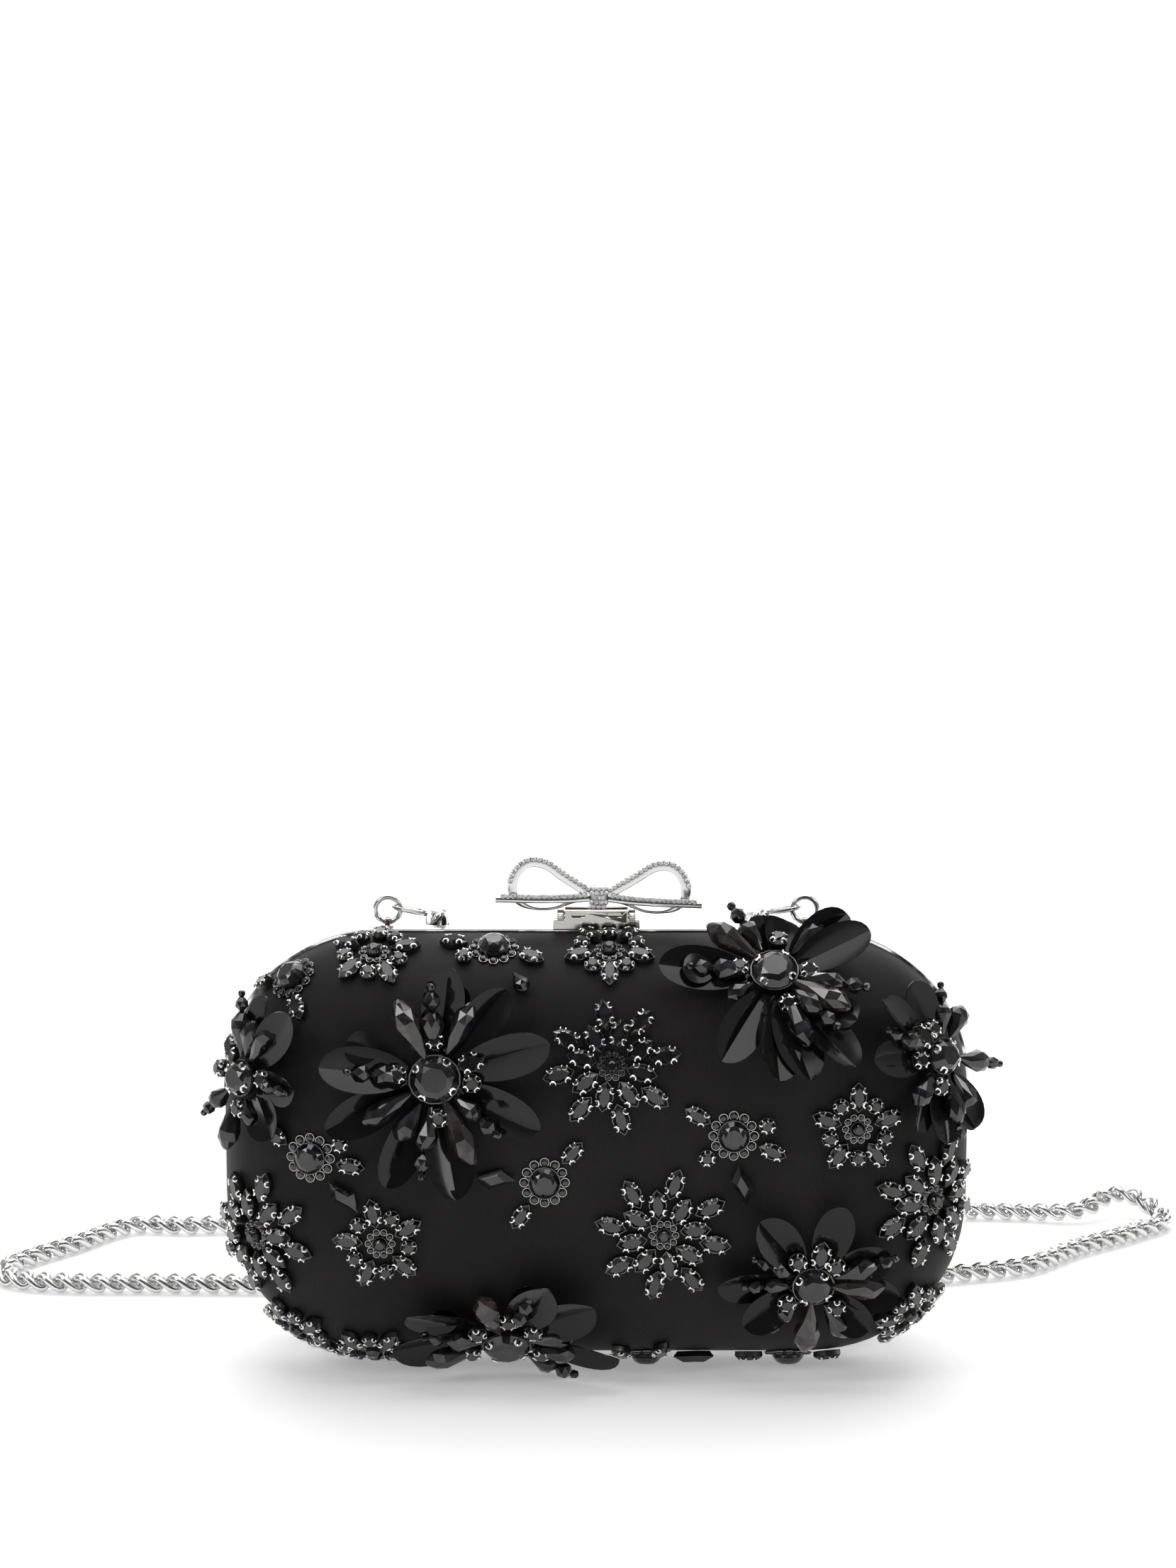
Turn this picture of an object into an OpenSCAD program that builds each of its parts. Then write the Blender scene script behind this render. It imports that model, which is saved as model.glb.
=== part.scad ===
// Evening bag: hard-shell clutch with two pillow halves in a hinged metal frame,
// a bow clasp, a chain strap and sewn jet-stone motifs.
// +Z up, front towards -Y, origin on the resting plane under the middle of the bag.

/* [Body] */
// Overall width of the covered shells
body_w = 178; // [150:1:210]
// Overall height of the covered shells
body_h = 102; // [90:1:115]
// Overall depth of both halves together
body_d = 58; // [50:1:66]
// Corner radius of the outline, which is also how far the pillow slopes in
corner_r = 37; // [32:1:40]
// Fullness of the pillow slope: 2 is an ellipse, more is boxier
fullness = 2.4; // [2.1:0.1:3]
// Height of the covered body above the resting plane
ground_gap = 2.6; // [2.4:0.1:3.2]

/* [Walls] */
// Thickness of the satin cover
cover_t = 0.6; // [0.5:0.1:1]
// Thickness of the moulded shell
shell_t = 1.8; // [1.4:0.1:2.4]
// Thickness of the lining
lining_t = 1; // [0.8:0.1:1.4]

/* [Frame] */
// How far the metal rim stands proud of the cover
rim_proud = 0.4; // [0.2:0.1:0.8]
// Depth of one rim along Y
rim_d = 3; // [2.6:0.1:4]
// Gap between the two closed rims
rim_gap = 0.3; // [0.2:0.05:0.5]

/* [Hinge] */
// Outer radius of the hinge barrel
knuckle_r = 1.5; // [1.3:0.1:1.6]
// Radius of the hinge pin
hinge_pin_r = 0.7; // [0.5:0.05:0.8]
// Radial running clearance on the pins
running_clear = 0.05; // [0.02:0.01:0.1]
// Length of the whole hinge barrel
hinge_l = 60; // [40:2:80]

/* [Clasp] */
// Width of the clasp plates on the rims
clasp_w = 20.6; // [18:0.2:26]
// Width of the sprung cap
cap_w = 15; // [13:0.5:17]
// Overall width of the bow
bow_w = 50; // [40:1:60]

/* [Strap] */
// Distance of each ring from the middle
ring_x = 50; // [46:1:54]
// Outer diameter of the rings
ring_d = 7; // [6:0.5:8]
// Diameter of the chain's envelope
chain_d = 5.4; // [4:0.2:6]

/* [Hidden] */
$fn = 48;

half_d = body_d / 2;
core_x = body_w / 2 - corner_r;
core_z = body_h / 2 - corner_r;
mid_z = ground_gap + body_h / 2;
rim_r = corner_r + rim_proud;
rim_in = corner_r - cover_t - shell_t - lining_t;
rim_y0 = rim_gap / 2;
rim_y1 = rim_y0 + rim_d;
top_z = mid_z + core_z + rim_r;
hinge_z = mid_z - core_z - rim_r + 0.1;
fit_gap = 0.3;
slope_steps = 12;
satin = [0.12, 0.11, 0.115];
jet = [0.07, 0.07, 0.08];
silver = [0.8, 0.8, 0.82];

// ---- pillow surface -------------------------------------------------------

function clamp(v, limit) = max(-limit, min(limit, v));
function core_point(p) = [clamp(p[0], core_x), 0, mid_z + clamp(p[2] - mid_z, core_z)];
function reach(u, w) = pow(pow(u / corner_r, fullness) + pow(w / half_d, fullness), 1 / fullness);

// Nearest point of the covered surface, going out from the core through p
function on_skin(p) =
    let (q = core_point(p), d = p - q, u = norm([d[0], d[2]]), k = 1 / reach(u, abs(d[1])))
    q + d * k;

// Outward direction of the covered surface at a point on it
function skin_normal(p) =
    let (
        q = core_point(p), d = p - q, u = max(norm([d[0], d[2]]), 0.001),
        out = pow(u / corner_r, fullness - 1) / corner_r,
        side = sign(d[1]) * pow(abs(d[1]) / half_d, fullness - 1) / half_d
    ) unit([d[0] / u * out, side, d[2] / u * out]);

function unit(v) = v / norm(v);
function level_tangent(n) = unit(cross([0, 0, 1], n));

// Stands its children on the cover at p, with their +Z outwards and lifted by h
module stand_on(p, h = 0, spin = 0) {
    s = on_skin(p);
    n = skin_normal(s);
    t = level_tangent(n);
    b = cross(n, t);
    o = s + n * h;
    multmatrix([
        [t[0], b[0], n[0], o[0]],
        [t[1], b[1], n[1], o[1]],
        [t[2], b[2], n[2], o[2]],
        [0, 0, 0, 1]
    ]) rotate([0, 0, spin]) children();
}

// Places its children r away from the motif's middle c, in direction a along the cover
module around(c, r, a, h = 0) {
    s = on_skin(c);
    n = skin_normal(s);
    t = level_tangent(n);
    b = cross(n, t);
    stand_on(s + r * (cos(a) * t + sin(a) * b), h, a) children();
}

// ---- half shells ----------------------------------------------------------

// Slope profile of one half, moved in by inset; x runs out from the core, y along depth
function slope(inset) = [
    for (i = [0 : slope_steps])
        let (a = 90 * i / slope_steps)
        [(corner_r - inset) * pow(cos(a), 2 / fullness), (half_d - inset) * pow(sin(a), 2 / fullness)]
];

module slope_profile(inset) {
    polygon(concat([[0, 0]], slope(inset)));
}

module half_pillow(inset) {
    for (sx = [-1, 1], sz = [-1, 1])
        translate([sx * core_x, 0, mid_z + sz * core_z])
            rotate([-90, 0, 0])
                rotate([0, 0, (sx > 0 ? (sz > 0 ? -90 : 0) : (sz > 0 ? 180 : 90))])
                    rotate_extrude(angle = 90) slope_profile(inset);
    for (sz = [-1, 1])
        translate([0, 0, mid_z + sz * core_z])
            rotate([90, 0, 90])
                linear_extrude(2 * core_x, center = true)
                    polygon([for (p = concat([[0, 0]], slope(inset))) [p[1], sz * p[0]]]);
    for (sx = [-1, 1])
        translate([sx * core_x, 0, mid_z - core_z])
            linear_extrude(2 * core_z)
                polygon([for (p = concat([[0, 0]], slope(inset))) [sx * p[0], p[1]]]);
    translate([-core_x, 0, mid_z - core_z]) cube([2 * core_x, half_d - inset, 2 * core_z]);
}

// One skin of the back half, from inset a in to inset b, open at the parting face
module half_skin(a, b) {
    difference() {
        half_pillow(a);
        half_pillow(b);
        translate([-body_w, -1, -body_h]) cube([2 * body_w, 1 + rim_y1, 3 * body_h]);
    }
}

module to_front() { mirror([0, 1, 0]) children(); }

module rounded_outline(r) {
    square([2 * core_x, 2 * (core_z + r)], center = true);
    square([2 * (core_x + r), 2 * core_z], center = true);
    for (sx = [-1, 1], sz = [-1, 1]) translate([sx * core_x, sz * core_z]) circle(r, $fn = 96);
}

hinge_room_r = knuckle_r + 0.15;
module rim() {
    difference() {
        translate([0, rim_y1, mid_z]) rotate([90, 0, 0]) linear_extrude(rim_d) difference() {
            rounded_outline(rim_r);
            rounded_outline(rim_in);
        }
        translate([-hinge_l / 2 - fit_gap, 0, hinge_z]) rotate([0, 90, 0])
            cylinder(h = hinge_l + 2 * fit_gap, r = hinge_room_r);
    }
}

shell_in = cover_t + shell_t;
module back_shell() { color("dimgray") half_skin(cover_t, shell_in); }
module back_cover() { color(satin) half_skin(0, cover_t); }
module back_lining() { color([0.2, 0.18, 0.19]) half_skin(shell_in, shell_in + lining_t); }
module back_frame() { color(silver) rim(); }
module front_shell() { to_front() back_shell(); }
module front_cover() { to_front() back_cover(); }
module front_lining() { to_front() back_lining(); }
module front_frame() { to_front() back_frame(); }

// ---- hinge ----------------------------------------------------------------

knuckle_n = 5;
knuckle_pitch = hinge_l / knuckle_n;
knuckle_l = knuckle_pitch - fit_gap;
tab_top = mid_z - core_z - rim_r;
tab_t = 0.9;
tab_y0 = 0.6;
tab_y1 = rim_y1 - 0.2;

// One knuckle with the tab that joins it to the rim above
module knuckle() {
    difference() {
        union() {
            translate([0, 0, hinge_z]) rotate([0, 90, 0]) cylinder(h = knuckle_l, r = knuckle_r);
            translate([0, tab_y0, tab_top - tab_t]) cube([knuckle_l, tab_y1 - tab_y0, tab_t]);
        }
        translate([-1, 0, hinge_z]) rotate([0, 90, 0])
            cylinder(h = knuckle_l + 2, r = hinge_pin_r + running_clear);
    }
}

// Every second knuckle of the barrel
module knuckles(first) {
    for (i = [first : 2 : knuckle_n - 1])
        translate([i * knuckle_pitch - hinge_l / 2 + fit_gap / 2, 0, 0]) knuckle();
}
module hinge_knuckles_back() { color(silver) knuckles(0); }
module hinge_knuckles_front() { color(silver) to_front() knuckles(1); }
module hinge_pin() {
    color("gray") translate([-hinge_l / 2, 0, hinge_z]) rotate([0, 90, 0]) cylinder(h = hinge_l, r = hinge_pin_r);
}

// ---- clasp ----------------------------------------------------------------

plate_t = 2.2;
plate_back = 0.2;
plate_top = top_z + plate_t;
cap_gap = 0.2;
cap_z = plate_top + cap_gap;
cap_t = 2.3;
cap_top = cap_z + cap_t;
pin_y = rim_y1 + 1.5;
pin_z = plate_top + 0.6;
clasp_pin_r = 0.6;
ear_t = 1.6;
ear_r = 1.3;
ear_h = plate_t / 2 + 0.6;
ear_root = 0.6;
lip_t = 0.7;
lip_h = 0.9;
catch_front = -rim_y1 - 0.1;
cap_front = catch_front - fit_gap - lip_t;
spring_l = 5;
spring_r = 1.05;
spring_room = 1.35;
window_w = 3.2;
window_h = 1.1;
window_x = cap_w * 0.29;
window_d = 1.5;

// A round bar or bore of length l along X, centred at x
module across(x, l, r) {
    translate([x, pin_y, pin_z]) rotate([0, 90, 0]) cylinder(h = l, r = r, center = true);
}

module clasp_base() {
    color(silver) difference() {
        union() {
            translate([-clasp_w / 2, rim_y0, top_z]) cube([clasp_w, rim_d + plate_back, plate_t]);
            for (s = [-1, 1]) {
                x = s * (cap_w / 2 + fit_gap + ear_t / 2);
                across(x, ear_t, ear_r);
                translate([x - ear_t / 2, rim_y1 - ear_root, pin_z - ear_h])
                    cube([ear_t, pin_y - rim_y1 + ear_root, ear_h]);
            }
        }
        across(0, 2 * clasp_w, clasp_pin_r);
    }
}
module clasp_catch() {
    color(silver) translate([-clasp_w / 2, catch_front, top_z]) cube([clasp_w, -catch_front - rim_y0, plate_t]);
}
module clasp_pin() { color("gray") across(0, cap_w + 2 * (fit_gap + ear_t), clasp_pin_r); }
module clasp_spring() {
    color("gray") difference() {
        across(0, spring_l - 0.4, spring_r);
        across(0, spring_l + 2, clasp_pin_r + running_clear);
    }
}
module clasp_cap() {
    color(silver) difference() {
        union() {
            translate([-cap_w / 2, cap_front, cap_z]) cube([cap_w, pin_y - cap_front, cap_t]);
            translate([-cap_w / 2, cap_front, cap_z - lip_h]) cube([cap_w, lip_t, lip_h + 0.1]);
            across(0, cap_w, ear_r);
        }
        translate([-spring_l / 2, pin_y - spring_r - 0.45, pin_z - 2]) cube([spring_l, 4, 2 + spring_room]);
        across(0, 2 * cap_w, clasp_pin_r + running_clear);
        for (s = [-1, 1])
            translate([s * window_x - window_w / 2, cap_front - 1, cap_z + 0.6])
                cube([window_w, 1 + window_d, window_h]);
    }
}

// Bow: one ribbon of metal on edge, two loops and two tails, meeting at the knot
bow_x = 0.6;
bow_y = -0.4;
bow_z = cap_top + 2.9;
bow_tilt = 1.7;
ribbon_t = 1.5;
ribbon_w = 2.6;
loop_steps = 14;
loop_root = 2.2;
loop_reach = bow_w * 0.406;
loop_rise = 10.2;
loop_sag = 0.22;
loop_neck = 0.8;
tail_x = 2.9;
tail_z = -1.3;
tail_l = bow_w / 2 - 3.4;
tail_w = ribbon_w + 0.4;

// Middle line of one loop: out along the top and back underneath
function loop_point(t) =
    let (out = sin(180 * t), swing = cos(180 * t), share = swing > 0 ? 0.35 + 0.75 * swing : loop_sag * swing)
    [loop_root + loop_reach * pow(out, 0.9), loop_rise * out * share + loop_neck * swing];
function loop_side(t) =
    let (d = unit(loop_point(min(1, t + 0.01)) - loop_point(max(0, t - 0.01))))
    [-d[1], d[0]];
module bow_loop() {
    outer = [for (i = [0 : loop_steps]) let (t = i / loop_steps) loop_point(t) + loop_side(t) * ribbon_t / 2];
    inner = [for (i = [loop_steps : -1 : 0]) let (t = i / loop_steps) loop_point(t) - loop_side(t) * ribbon_t / 2];
    polygon(concat(outer, inner));
}
module bow_frame() {
    translate([bow_x, bow_y, bow_z]) rotate([0, bow_tilt, 0]) rotate([90, 0, 0]) children();
}
module bow_ribbon() {
    color(silver) bow_frame() for (s = [0, 1]) mirror([s, 0, 0]) {
        linear_extrude(ribbon_w, center = true) bow_loop();
        translate([tail_x, tail_z, 0.1 - ribbon_w / 2]) cube([tail_l, ribbon_t, tail_w]);
    }
}

knot_w = 4.8;
knot_h = 5.8;
knot_d = 4.4;
knot_round = 3.1;
stem_w = 4.4;
stem_h = 1.2;
module bow_knot() {
    color(silver) {
        bow_frame() translate([0, 0.1, 0]) intersection() {
            cube([knot_w, knot_h, knot_d], center = true);
            rotate([0, 90, 0]) cylinder(h = 2 * knot_w, r = knot_round, center = true);
        }
        translate([0.3 - stem_w / 2, bow_y - 2, cap_top]) cube([stem_w, 4, stem_h]);
    }
}

crystal_r = 0.55;
crystal_n = 10;
crystal_pitch = 1 / 22;
crystal_out = ribbon_t / 2 + crystal_r - 0.15;
module bow_crystals() {
    color("white") bow_frame() for (s = [0, 1]) mirror([s, 0, 0]) for (i = [1 : crystal_n])
        let (t = 0.06 + crystal_pitch * i, p = loop_point(t) + loop_side(t) * crystal_out)
        translate([p[0], p[1], 0]) sphere(r = crystal_r, $fn = 24);
}

// ---- strap ----------------------------------------------------------------

lug_y = rim_y0 + rim_d / 2;
lug_hole_z = top_z + 1.0;
ring_wire = 0.5;
ring_mid_r = ring_d / 2 - ring_wire;
lug_w = 1.2;
end_tilt = 14;
end_turn = 24;
end_l = 9.5;
end_w = 4.6;
end_t = 1.3;

lug_r = 1.45;
lug_bore_r = 0.7;
lug_foot_t = 0.25;
bore_z = lug_hole_z + 0.05;

module ring_lug(s) {
    color(silver) translate([s * ring_x, lug_y, 0]) difference() {
        union() {
            translate([-lug_w / 2, -lug_r, top_z]) cube([lug_w, 2 * lug_r, lug_hole_z - top_z]);
            translate([0, 0, lug_hole_z]) rotate([0, 90, 0]) cylinder(h = lug_w, r = lug_r, center = true);
            translate([-lug_r, -lug_r, top_z]) cube([2 * lug_r, 2 * lug_r, lug_foot_t]);
        }
        translate([0, 0, bore_z]) rotate([0, 90, 0]) cylinder(h = 4, r = lug_bore_r, center = true);
        translate([-2 * lug_r, -2 * lug_r, top_z - 4]) cube([4 * lug_r, 4 * lug_r, 4]);
    }
}
module ring_lug_left() { ring_lug(-1); }
module ring_lug_right() { ring_lug(1); }

ring_z = bore_z + ring_mid_r;
module ring(s) {
    color(silver) translate([s * ring_x, lug_y, ring_z]) rotate([90, 0, 0]) rotate_extrude(angle = 360)
        translate([ring_mid_r, 0]) circle(ring_wire, $fn = 24);
}
module ring_left() { ring(-1); }
module ring_right() { ring(1); }

module oblong(l, w) {
    square([l - w, w], center = true);
    for (e = [-1, 1]) translate([e * (l - w) / 2, 0]) circle(w / 2, $fn = 32);
}
// Flat oblong link through the ring, lying inwards over the back half
module chain_end(s) {
    color(silver) translate([s * (ring_x - ring_mid_r), lug_y, ring_z + 0.3])
        rotate([0, 0, s > 0 ? 180 - end_turn : end_turn]) rotate([0, end_tilt, 0])
            translate([end_l / 2 - end_t - 0.9, 0, -end_t / 2]) linear_extrude(end_t) difference() {
                oblong(end_l, end_w);
                oblong(end_l - 2 * end_t, end_w - 2 * end_t);
            }
}
module chain_end_left() { chain_end(-1); }
module chain_end_right() { chain_end(1); }

// Route of the chain, from the left ring down the back, out round both sides and up to the right ring
floor_z = chain_d / 2 + 0.1;
drop_x = 39;
drop = [[10.5, 107.8], [20.6, 103.4], [30.4, 89.6], [34.4, 66], [35, 30]];
floor_route = [
    [-40, 37, 8], [-50, 44, floor_z], [-112, 46, floor_z], [-142, 47, floor_z], [-156, 53, floor_z],
    [-156, 64, floor_z], [-144, 81, floor_z], [-131, 99, floor_z], [-116, 99, floor_z], [-96, 102, floor_z],
    [-68, 116, floor_z], [-30, 122, floor_z], [20, 122, floor_z], [41, 112, floor_z], [32, 96, floor_z],
    [-14, 94, floor_z], [-34, 82, floor_z], [-24, 68, floor_z], [14, 67, floor_z], [52, 73, floor_z],
    [80, 92, floor_z], [100, 112, floor_z], [122, 113, floor_z], [138, 110, 4], [152, 116, 7],
    [162, 106, floor_z], [152, 94, floor_z], [132, 78, floor_z], [112, 60, floor_z], [52, 44, floor_z], [40, 37, 8]
];
route = concat(
    [for (p = drop) [-drop_x, p[0], p[1]]],
    floor_route,
    [for (i = [len(drop) - 1 : -1 : 0]) [drop_x, drop[i][0], drop[i][1]]]
);
station_gap = 14.5;
pull_max = 40;
tube_sides = 10;

// Point on the smooth curve between control points i and i + 1
function along(i, f) =
    let (
        a = route[max(i - 1, 0)], b = route[i], c = route[i + 1], d = route[min(i + 2, len(route) - 1)],
        pull = min(norm(c - b), pull_max), k = pull / max(norm(c - a), 1), m = pull / max(norm(d - b), 1),
        u = (c - a) * k, v = (d - b) * m, f2 = f * f, f3 = f2 * f
    ) lifted((2 * f3 - 3 * f2 + 1) * b + (f3 - 2 * f2 + f) * u + (3 * f2 - 2 * f3) * c + (f3 - f2) * v);
function lifted(p) = [p[0], p[1], max(p[2], floor_z)];
chain_line = concat(
    [for (i = [0 : len(route) - 2])
        let (n = max(1, round(norm(route[i + 1] - route[i]) / station_gap)))
        for (j = [0 : n - 1]) along(i, j / n)],
    [route[len(route) - 1]]
);
function heading(i) = unit(chain_line[min(i + 1, last)] - chain_line[max(i - 1, 0)]);
function square_to(n, t) = unit(n - t * (n * t));
last = len(chain_line) - 1;
sides = [
    for (i = 0, n = [1, 0, 0]; i <= last; i = i + 1, n = square_to(n, heading(min(i, last))))
        square_to(n, heading(i))
];

module strap_chain() {
    points = [
        for (i = [0 : last]) let (t = heading(i), a = sides[i], b = cross(t, a))
            for (j = [0 : tube_sides - 1])
                chain_line[i] + chain_d / 2 * (cos(360 * j / tube_sides) * a + sin(360 * j / tube_sides) * b)
    ];
    walls = [
        for (i = [0 : last - 1], j = [0 : tube_sides - 1])
            let (k = (j + 1) % tube_sides)
            [i * tube_sides + k, i * tube_sides + j, (i + 1) * tube_sides + j, (i + 1) * tube_sides + k]
    ];
    caps = [
        [for (j = [0 : tube_sides - 1]) j],
        [for (j = [tube_sides - 1 : -1 : 0]) last * tube_sides + j]
    ];
    color(silver) polyhedron(points, concat(walls, caps));
}

// ---- sewn motifs ----------------------------------------------------------

seat = 0.35;

// Pointed oval slab, l long and w wide, lying along X
module oval_stone(l, w, t) {
    r = (l * l / w + w) / 4;
    intersection() {
        translate([0, r - w / 2, 0]) cylinder(h = t, r = r, $fn = 96);
        translate([0, w / 2 - r, 0]) cylinder(h = t, r = r, $fn = 96);
    }
}
module round_stone(d, t) { cylinder(h = t, r = d / 2, $fn = 12); }

// Large star: a round middle, eight short stones and eight long ones between them
module star_large(c, spin = 0) {
    color(jet) {
        stand_on(c, seat) round_stone(4.6, 2.4);
        for (i = [0 : 7]) {
            around(c, 6.2, spin + 45 * i, seat) oval_stone(6, 3, 2.2);
            around(c, 11.9, spin + 22.5 + 45 * i, seat) oval_stone(6.4, 3.2, 2.2);
        }
    }
}

// Small star: a round middle, five pointed ovals and five round stones
module star_small(c, spin = 0, height = 2.2) {
    color(jet) {
        stand_on(c, seat) round_stone(5, height + 0.3);
        for (i = [0 : 4]) {
            around(c, 6.9, spin + 72 * i, seat) oval_stone(6.4, 3.3, height);
            around(c, 6.4, spin + 36 + 72 * i, seat) round_stone(3, height);
        }
    }
}

// Rosette: a round stone in a ring of small cups, with loose stones at given angles
module rosette(c, stones = [], drops = []) {
    color(jet) {
        stand_on(c, seat) round_stone(7.4, 3);
        for (i = [0 : 11]) around(c, 4.75, 30 * i, seat) cylinder(h = 1.4, r = 0.95, $fn = 16);
        for (a = stones) around(c, 9.4, a, seat) oval_stone(6, 3.2, 2.2);
        for (a = drops) around(c, 10.6, a, seat) oval_stone(9, 4, 2);
    }
}

// Bead flower: a large round stone with folded petals, beads and small stones round it
module bead_flower(c, petals, beads, scale_f = 1) {
    color(jet) {
        stand_on(c, seat + 0.8) round_stone(11.4 * scale_f, 4.6);
        for (a = petals)
            around(c, 19 * scale_f, a, seat + 1.2) rotate([0, -7, 0]) oval_stone(17 * scale_f, 9 * scale_f, 0.5);
        for (a = beads)
            around(c, 14.5 * scale_f, a, seat + 4.4) oval_stone(10 * scale_f, 4.6 * scale_f, 3.6);
        for (a = [20 : 60 : 320]) around(c, 8.1 * scale_f, a, seat) round_stone(3.2 * scale_f, 3);
    }
}

// Cuts stones that would reach under the resting plane to a flat facet on it
module above_ground() {
    difference() {
        children();
        translate([-body_w, -body_w, -40]) cube([2 * body_w, 2 * body_w, 40]);
    }
}

full_petals = [82, 52, 20, -23, -80, -116, -157, 172];
full_beads = [90, 116, 62, 175, -150, -122, -96, -66, -40];
module bead_flower_a() { bead_flower([-37, -28.6, 75], full_petals, full_beads); }
module bead_flower_b() {
    bead_flower([41, -20, 96], [178, -120, -89, -59, 22], [180, 143, 118, 44, -18, -44, -70, -148], 0.92);
}
module bead_flower_c() {
    above_ground() bead_flower([-21, -21.5, 12], [5, 38, 70, 134, 170], [18, 72, 109, 165, -160, -20], 0.95);
}
module bead_flower_d() {
    bead_flower([50, -28, 27], [129, 69, 16, -150, 176], [152, 178, 25, -3, -58, -98, -135], 0.8);
}
module bead_flower_e() { bead_flower([-79.5, -20, 73], [80, 44, -5, -100], [62, 20, -20, -118, 110], 0.72); }
module bead_flower_f() { bead_flower([78, -21, 78], [178, 139, 105, -96], [152, 78, -13, -61, -88, -135], 0.72); }
module star_large_g() { star_large([3.5, -28, 77.5]); }
module star_large_h() { star_large([15.5, -29, 38], 11); }
module star_large_k() { star_large([-79, -21, 36], 8); }
module star_large_l() { star_large([78, -22.5, 44.5], 4); }
module star_small_i() { star_small([60, -29, 63], 18); }
module star_small_j() { star_small([-50, -29, 36], 30); }
module star_small_m() { above_ground() star_small([-53, -16, 7], 54, 3); }
module star_small_n() { star_small([-52, -14.5, 101], 10); }
module star_small_o() { star_small([3, -14, 101.5], 54); }
module star_small_p() { star_small([74, -17, 15.5], 40); }
module star_small_q() { star_small([-71, -15, 11.5], 20); }
module rosette_r() { rosette([-66, -27.8, 56], [150, -9, 25], [-48]); }
module rosette_s() { rosette([-12, -29, 50.5], [48, -125], [175]); }
module rosette_t() { rosette([31.5, -29, 61.5], [150, -140, -22, 18], [-80]); }
module rosette_u() { rosette([-24, -13, 102], [172, -25, 210], [-62]); }
module rosette_v() { rosette([-71, -14.5, 95.5], [195, -45], []); }
module rosette_w() { above_ground() rosette([12, -9.5, 3], [70, 130], [15]); }
module rosette_x() { above_ground() rosette([46, -9.5, 3], [172, 20], []); }
module back_flower() { bead_flower([-3, 28.8, 63.5], full_petals, full_beads); }
module back_star_left() { star_large([-65, 27.5, 69.5]); }
module back_star_right() { star_large([65, 27.5, 59.5], 10); }
module back_rosette() { rosette([12, 26.5, 20], [160, -20, 20], [200]); }
module back_foot_left() { above_ground() rosette([-46, 9.5, 3], [172, 20], []); }
module back_foot_right() { above_ground() rosette([46, 9.5, 3], [160, 10], []); }

back_shell();
back_cover();
back_lining();
back_frame();
hinge_knuckles_back();
hinge_pin();
clasp_base();
clasp_pin();
clasp_spring();
ring_lug_left();
ring_lug_right();
strap_chain();
front_shell();
front_cover();
front_lining();
front_frame();
hinge_knuckles_front();
clasp_catch();
clasp_cap();
bow_ribbon();
bow_knot();
bow_crystals();
ring_left();
chain_end_left();
ring_right();
chain_end_right();
bead_flower_a();
bead_flower_b();
bead_flower_c();
bead_flower_d();
bead_flower_e();
bead_flower_f();
star_large_g();
star_large_h();
star_large_k();
star_large_l();
star_small_i();
star_small_j();
star_small_m();
star_small_n();
star_small_o();
star_small_p();
star_small_q();
rosette_r();
rosette_s();
rosette_t();
rosette_u();
rosette_v();
rosette_w();
rosette_x();
back_flower();
back_star_left();
back_star_right();
back_rosette();
back_foot_left();
back_foot_right();
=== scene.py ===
"""Looks of an evening bag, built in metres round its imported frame.

Two satin-covered pillow halves meet in a polished metal rim, with a bow clasp on top, a curb-link
chain lying behind, and flowers, stars and rosettes of jet stones sewn all over.
"""

import logging
import math
import random
from dataclasses import dataclass, field
from enum import Enum

import bmesh
import bpy
from mathutils import Matrix, Vector, noise


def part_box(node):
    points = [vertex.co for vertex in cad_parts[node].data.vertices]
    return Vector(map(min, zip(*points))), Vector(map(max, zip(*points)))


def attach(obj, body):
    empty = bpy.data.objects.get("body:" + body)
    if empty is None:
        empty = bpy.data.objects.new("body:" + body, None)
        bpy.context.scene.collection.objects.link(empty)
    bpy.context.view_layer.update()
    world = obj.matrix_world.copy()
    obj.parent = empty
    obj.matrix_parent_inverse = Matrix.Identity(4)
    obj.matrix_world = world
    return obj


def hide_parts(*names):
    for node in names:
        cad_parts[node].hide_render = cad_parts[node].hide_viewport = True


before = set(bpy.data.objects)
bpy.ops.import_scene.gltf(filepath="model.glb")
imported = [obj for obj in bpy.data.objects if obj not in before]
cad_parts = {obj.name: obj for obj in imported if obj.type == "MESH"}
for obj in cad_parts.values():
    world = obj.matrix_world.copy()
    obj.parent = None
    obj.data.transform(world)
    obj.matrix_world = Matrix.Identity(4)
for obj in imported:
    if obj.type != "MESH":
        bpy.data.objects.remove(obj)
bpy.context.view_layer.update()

LOG = logging.getLogger("evening_bag")
MM = 0.001
TAU = math.tau
FRONT, BACK, CLASP = "front_half", "back_half", "clasp"
RINGS = ("ring_left", "ring_right")
BAND = 0.314  # wave texture scale of one metre-long band

Finish = bpy.types.Material
Socket = bpy.types.NodeSocket
Triple = tuple[float, float, float]
Pair = tuple[float, float]
Colour = tuple[float, float, float, float]


def turned(degrees: float, axis: str) -> Matrix:
    """Gives a turn about one axis."""
    return Matrix.Rotation(math.radians(degrees), 4, axis)


def framed(x: Vector, y: Vector, z: Vector) -> Matrix:
    """Gives the turn whose axes are x, y and z."""
    return Matrix((x, y, z)).transposed().to_4x4()


def rounded(angle: float, across: Vector, up: Vector) -> Vector:
    """Gives the point at an angle on the unit circle that across and up span."""
    return across * math.cos(angle) + up * math.sin(angle)


# ---------------------------------------------------------------- finishes


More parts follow.
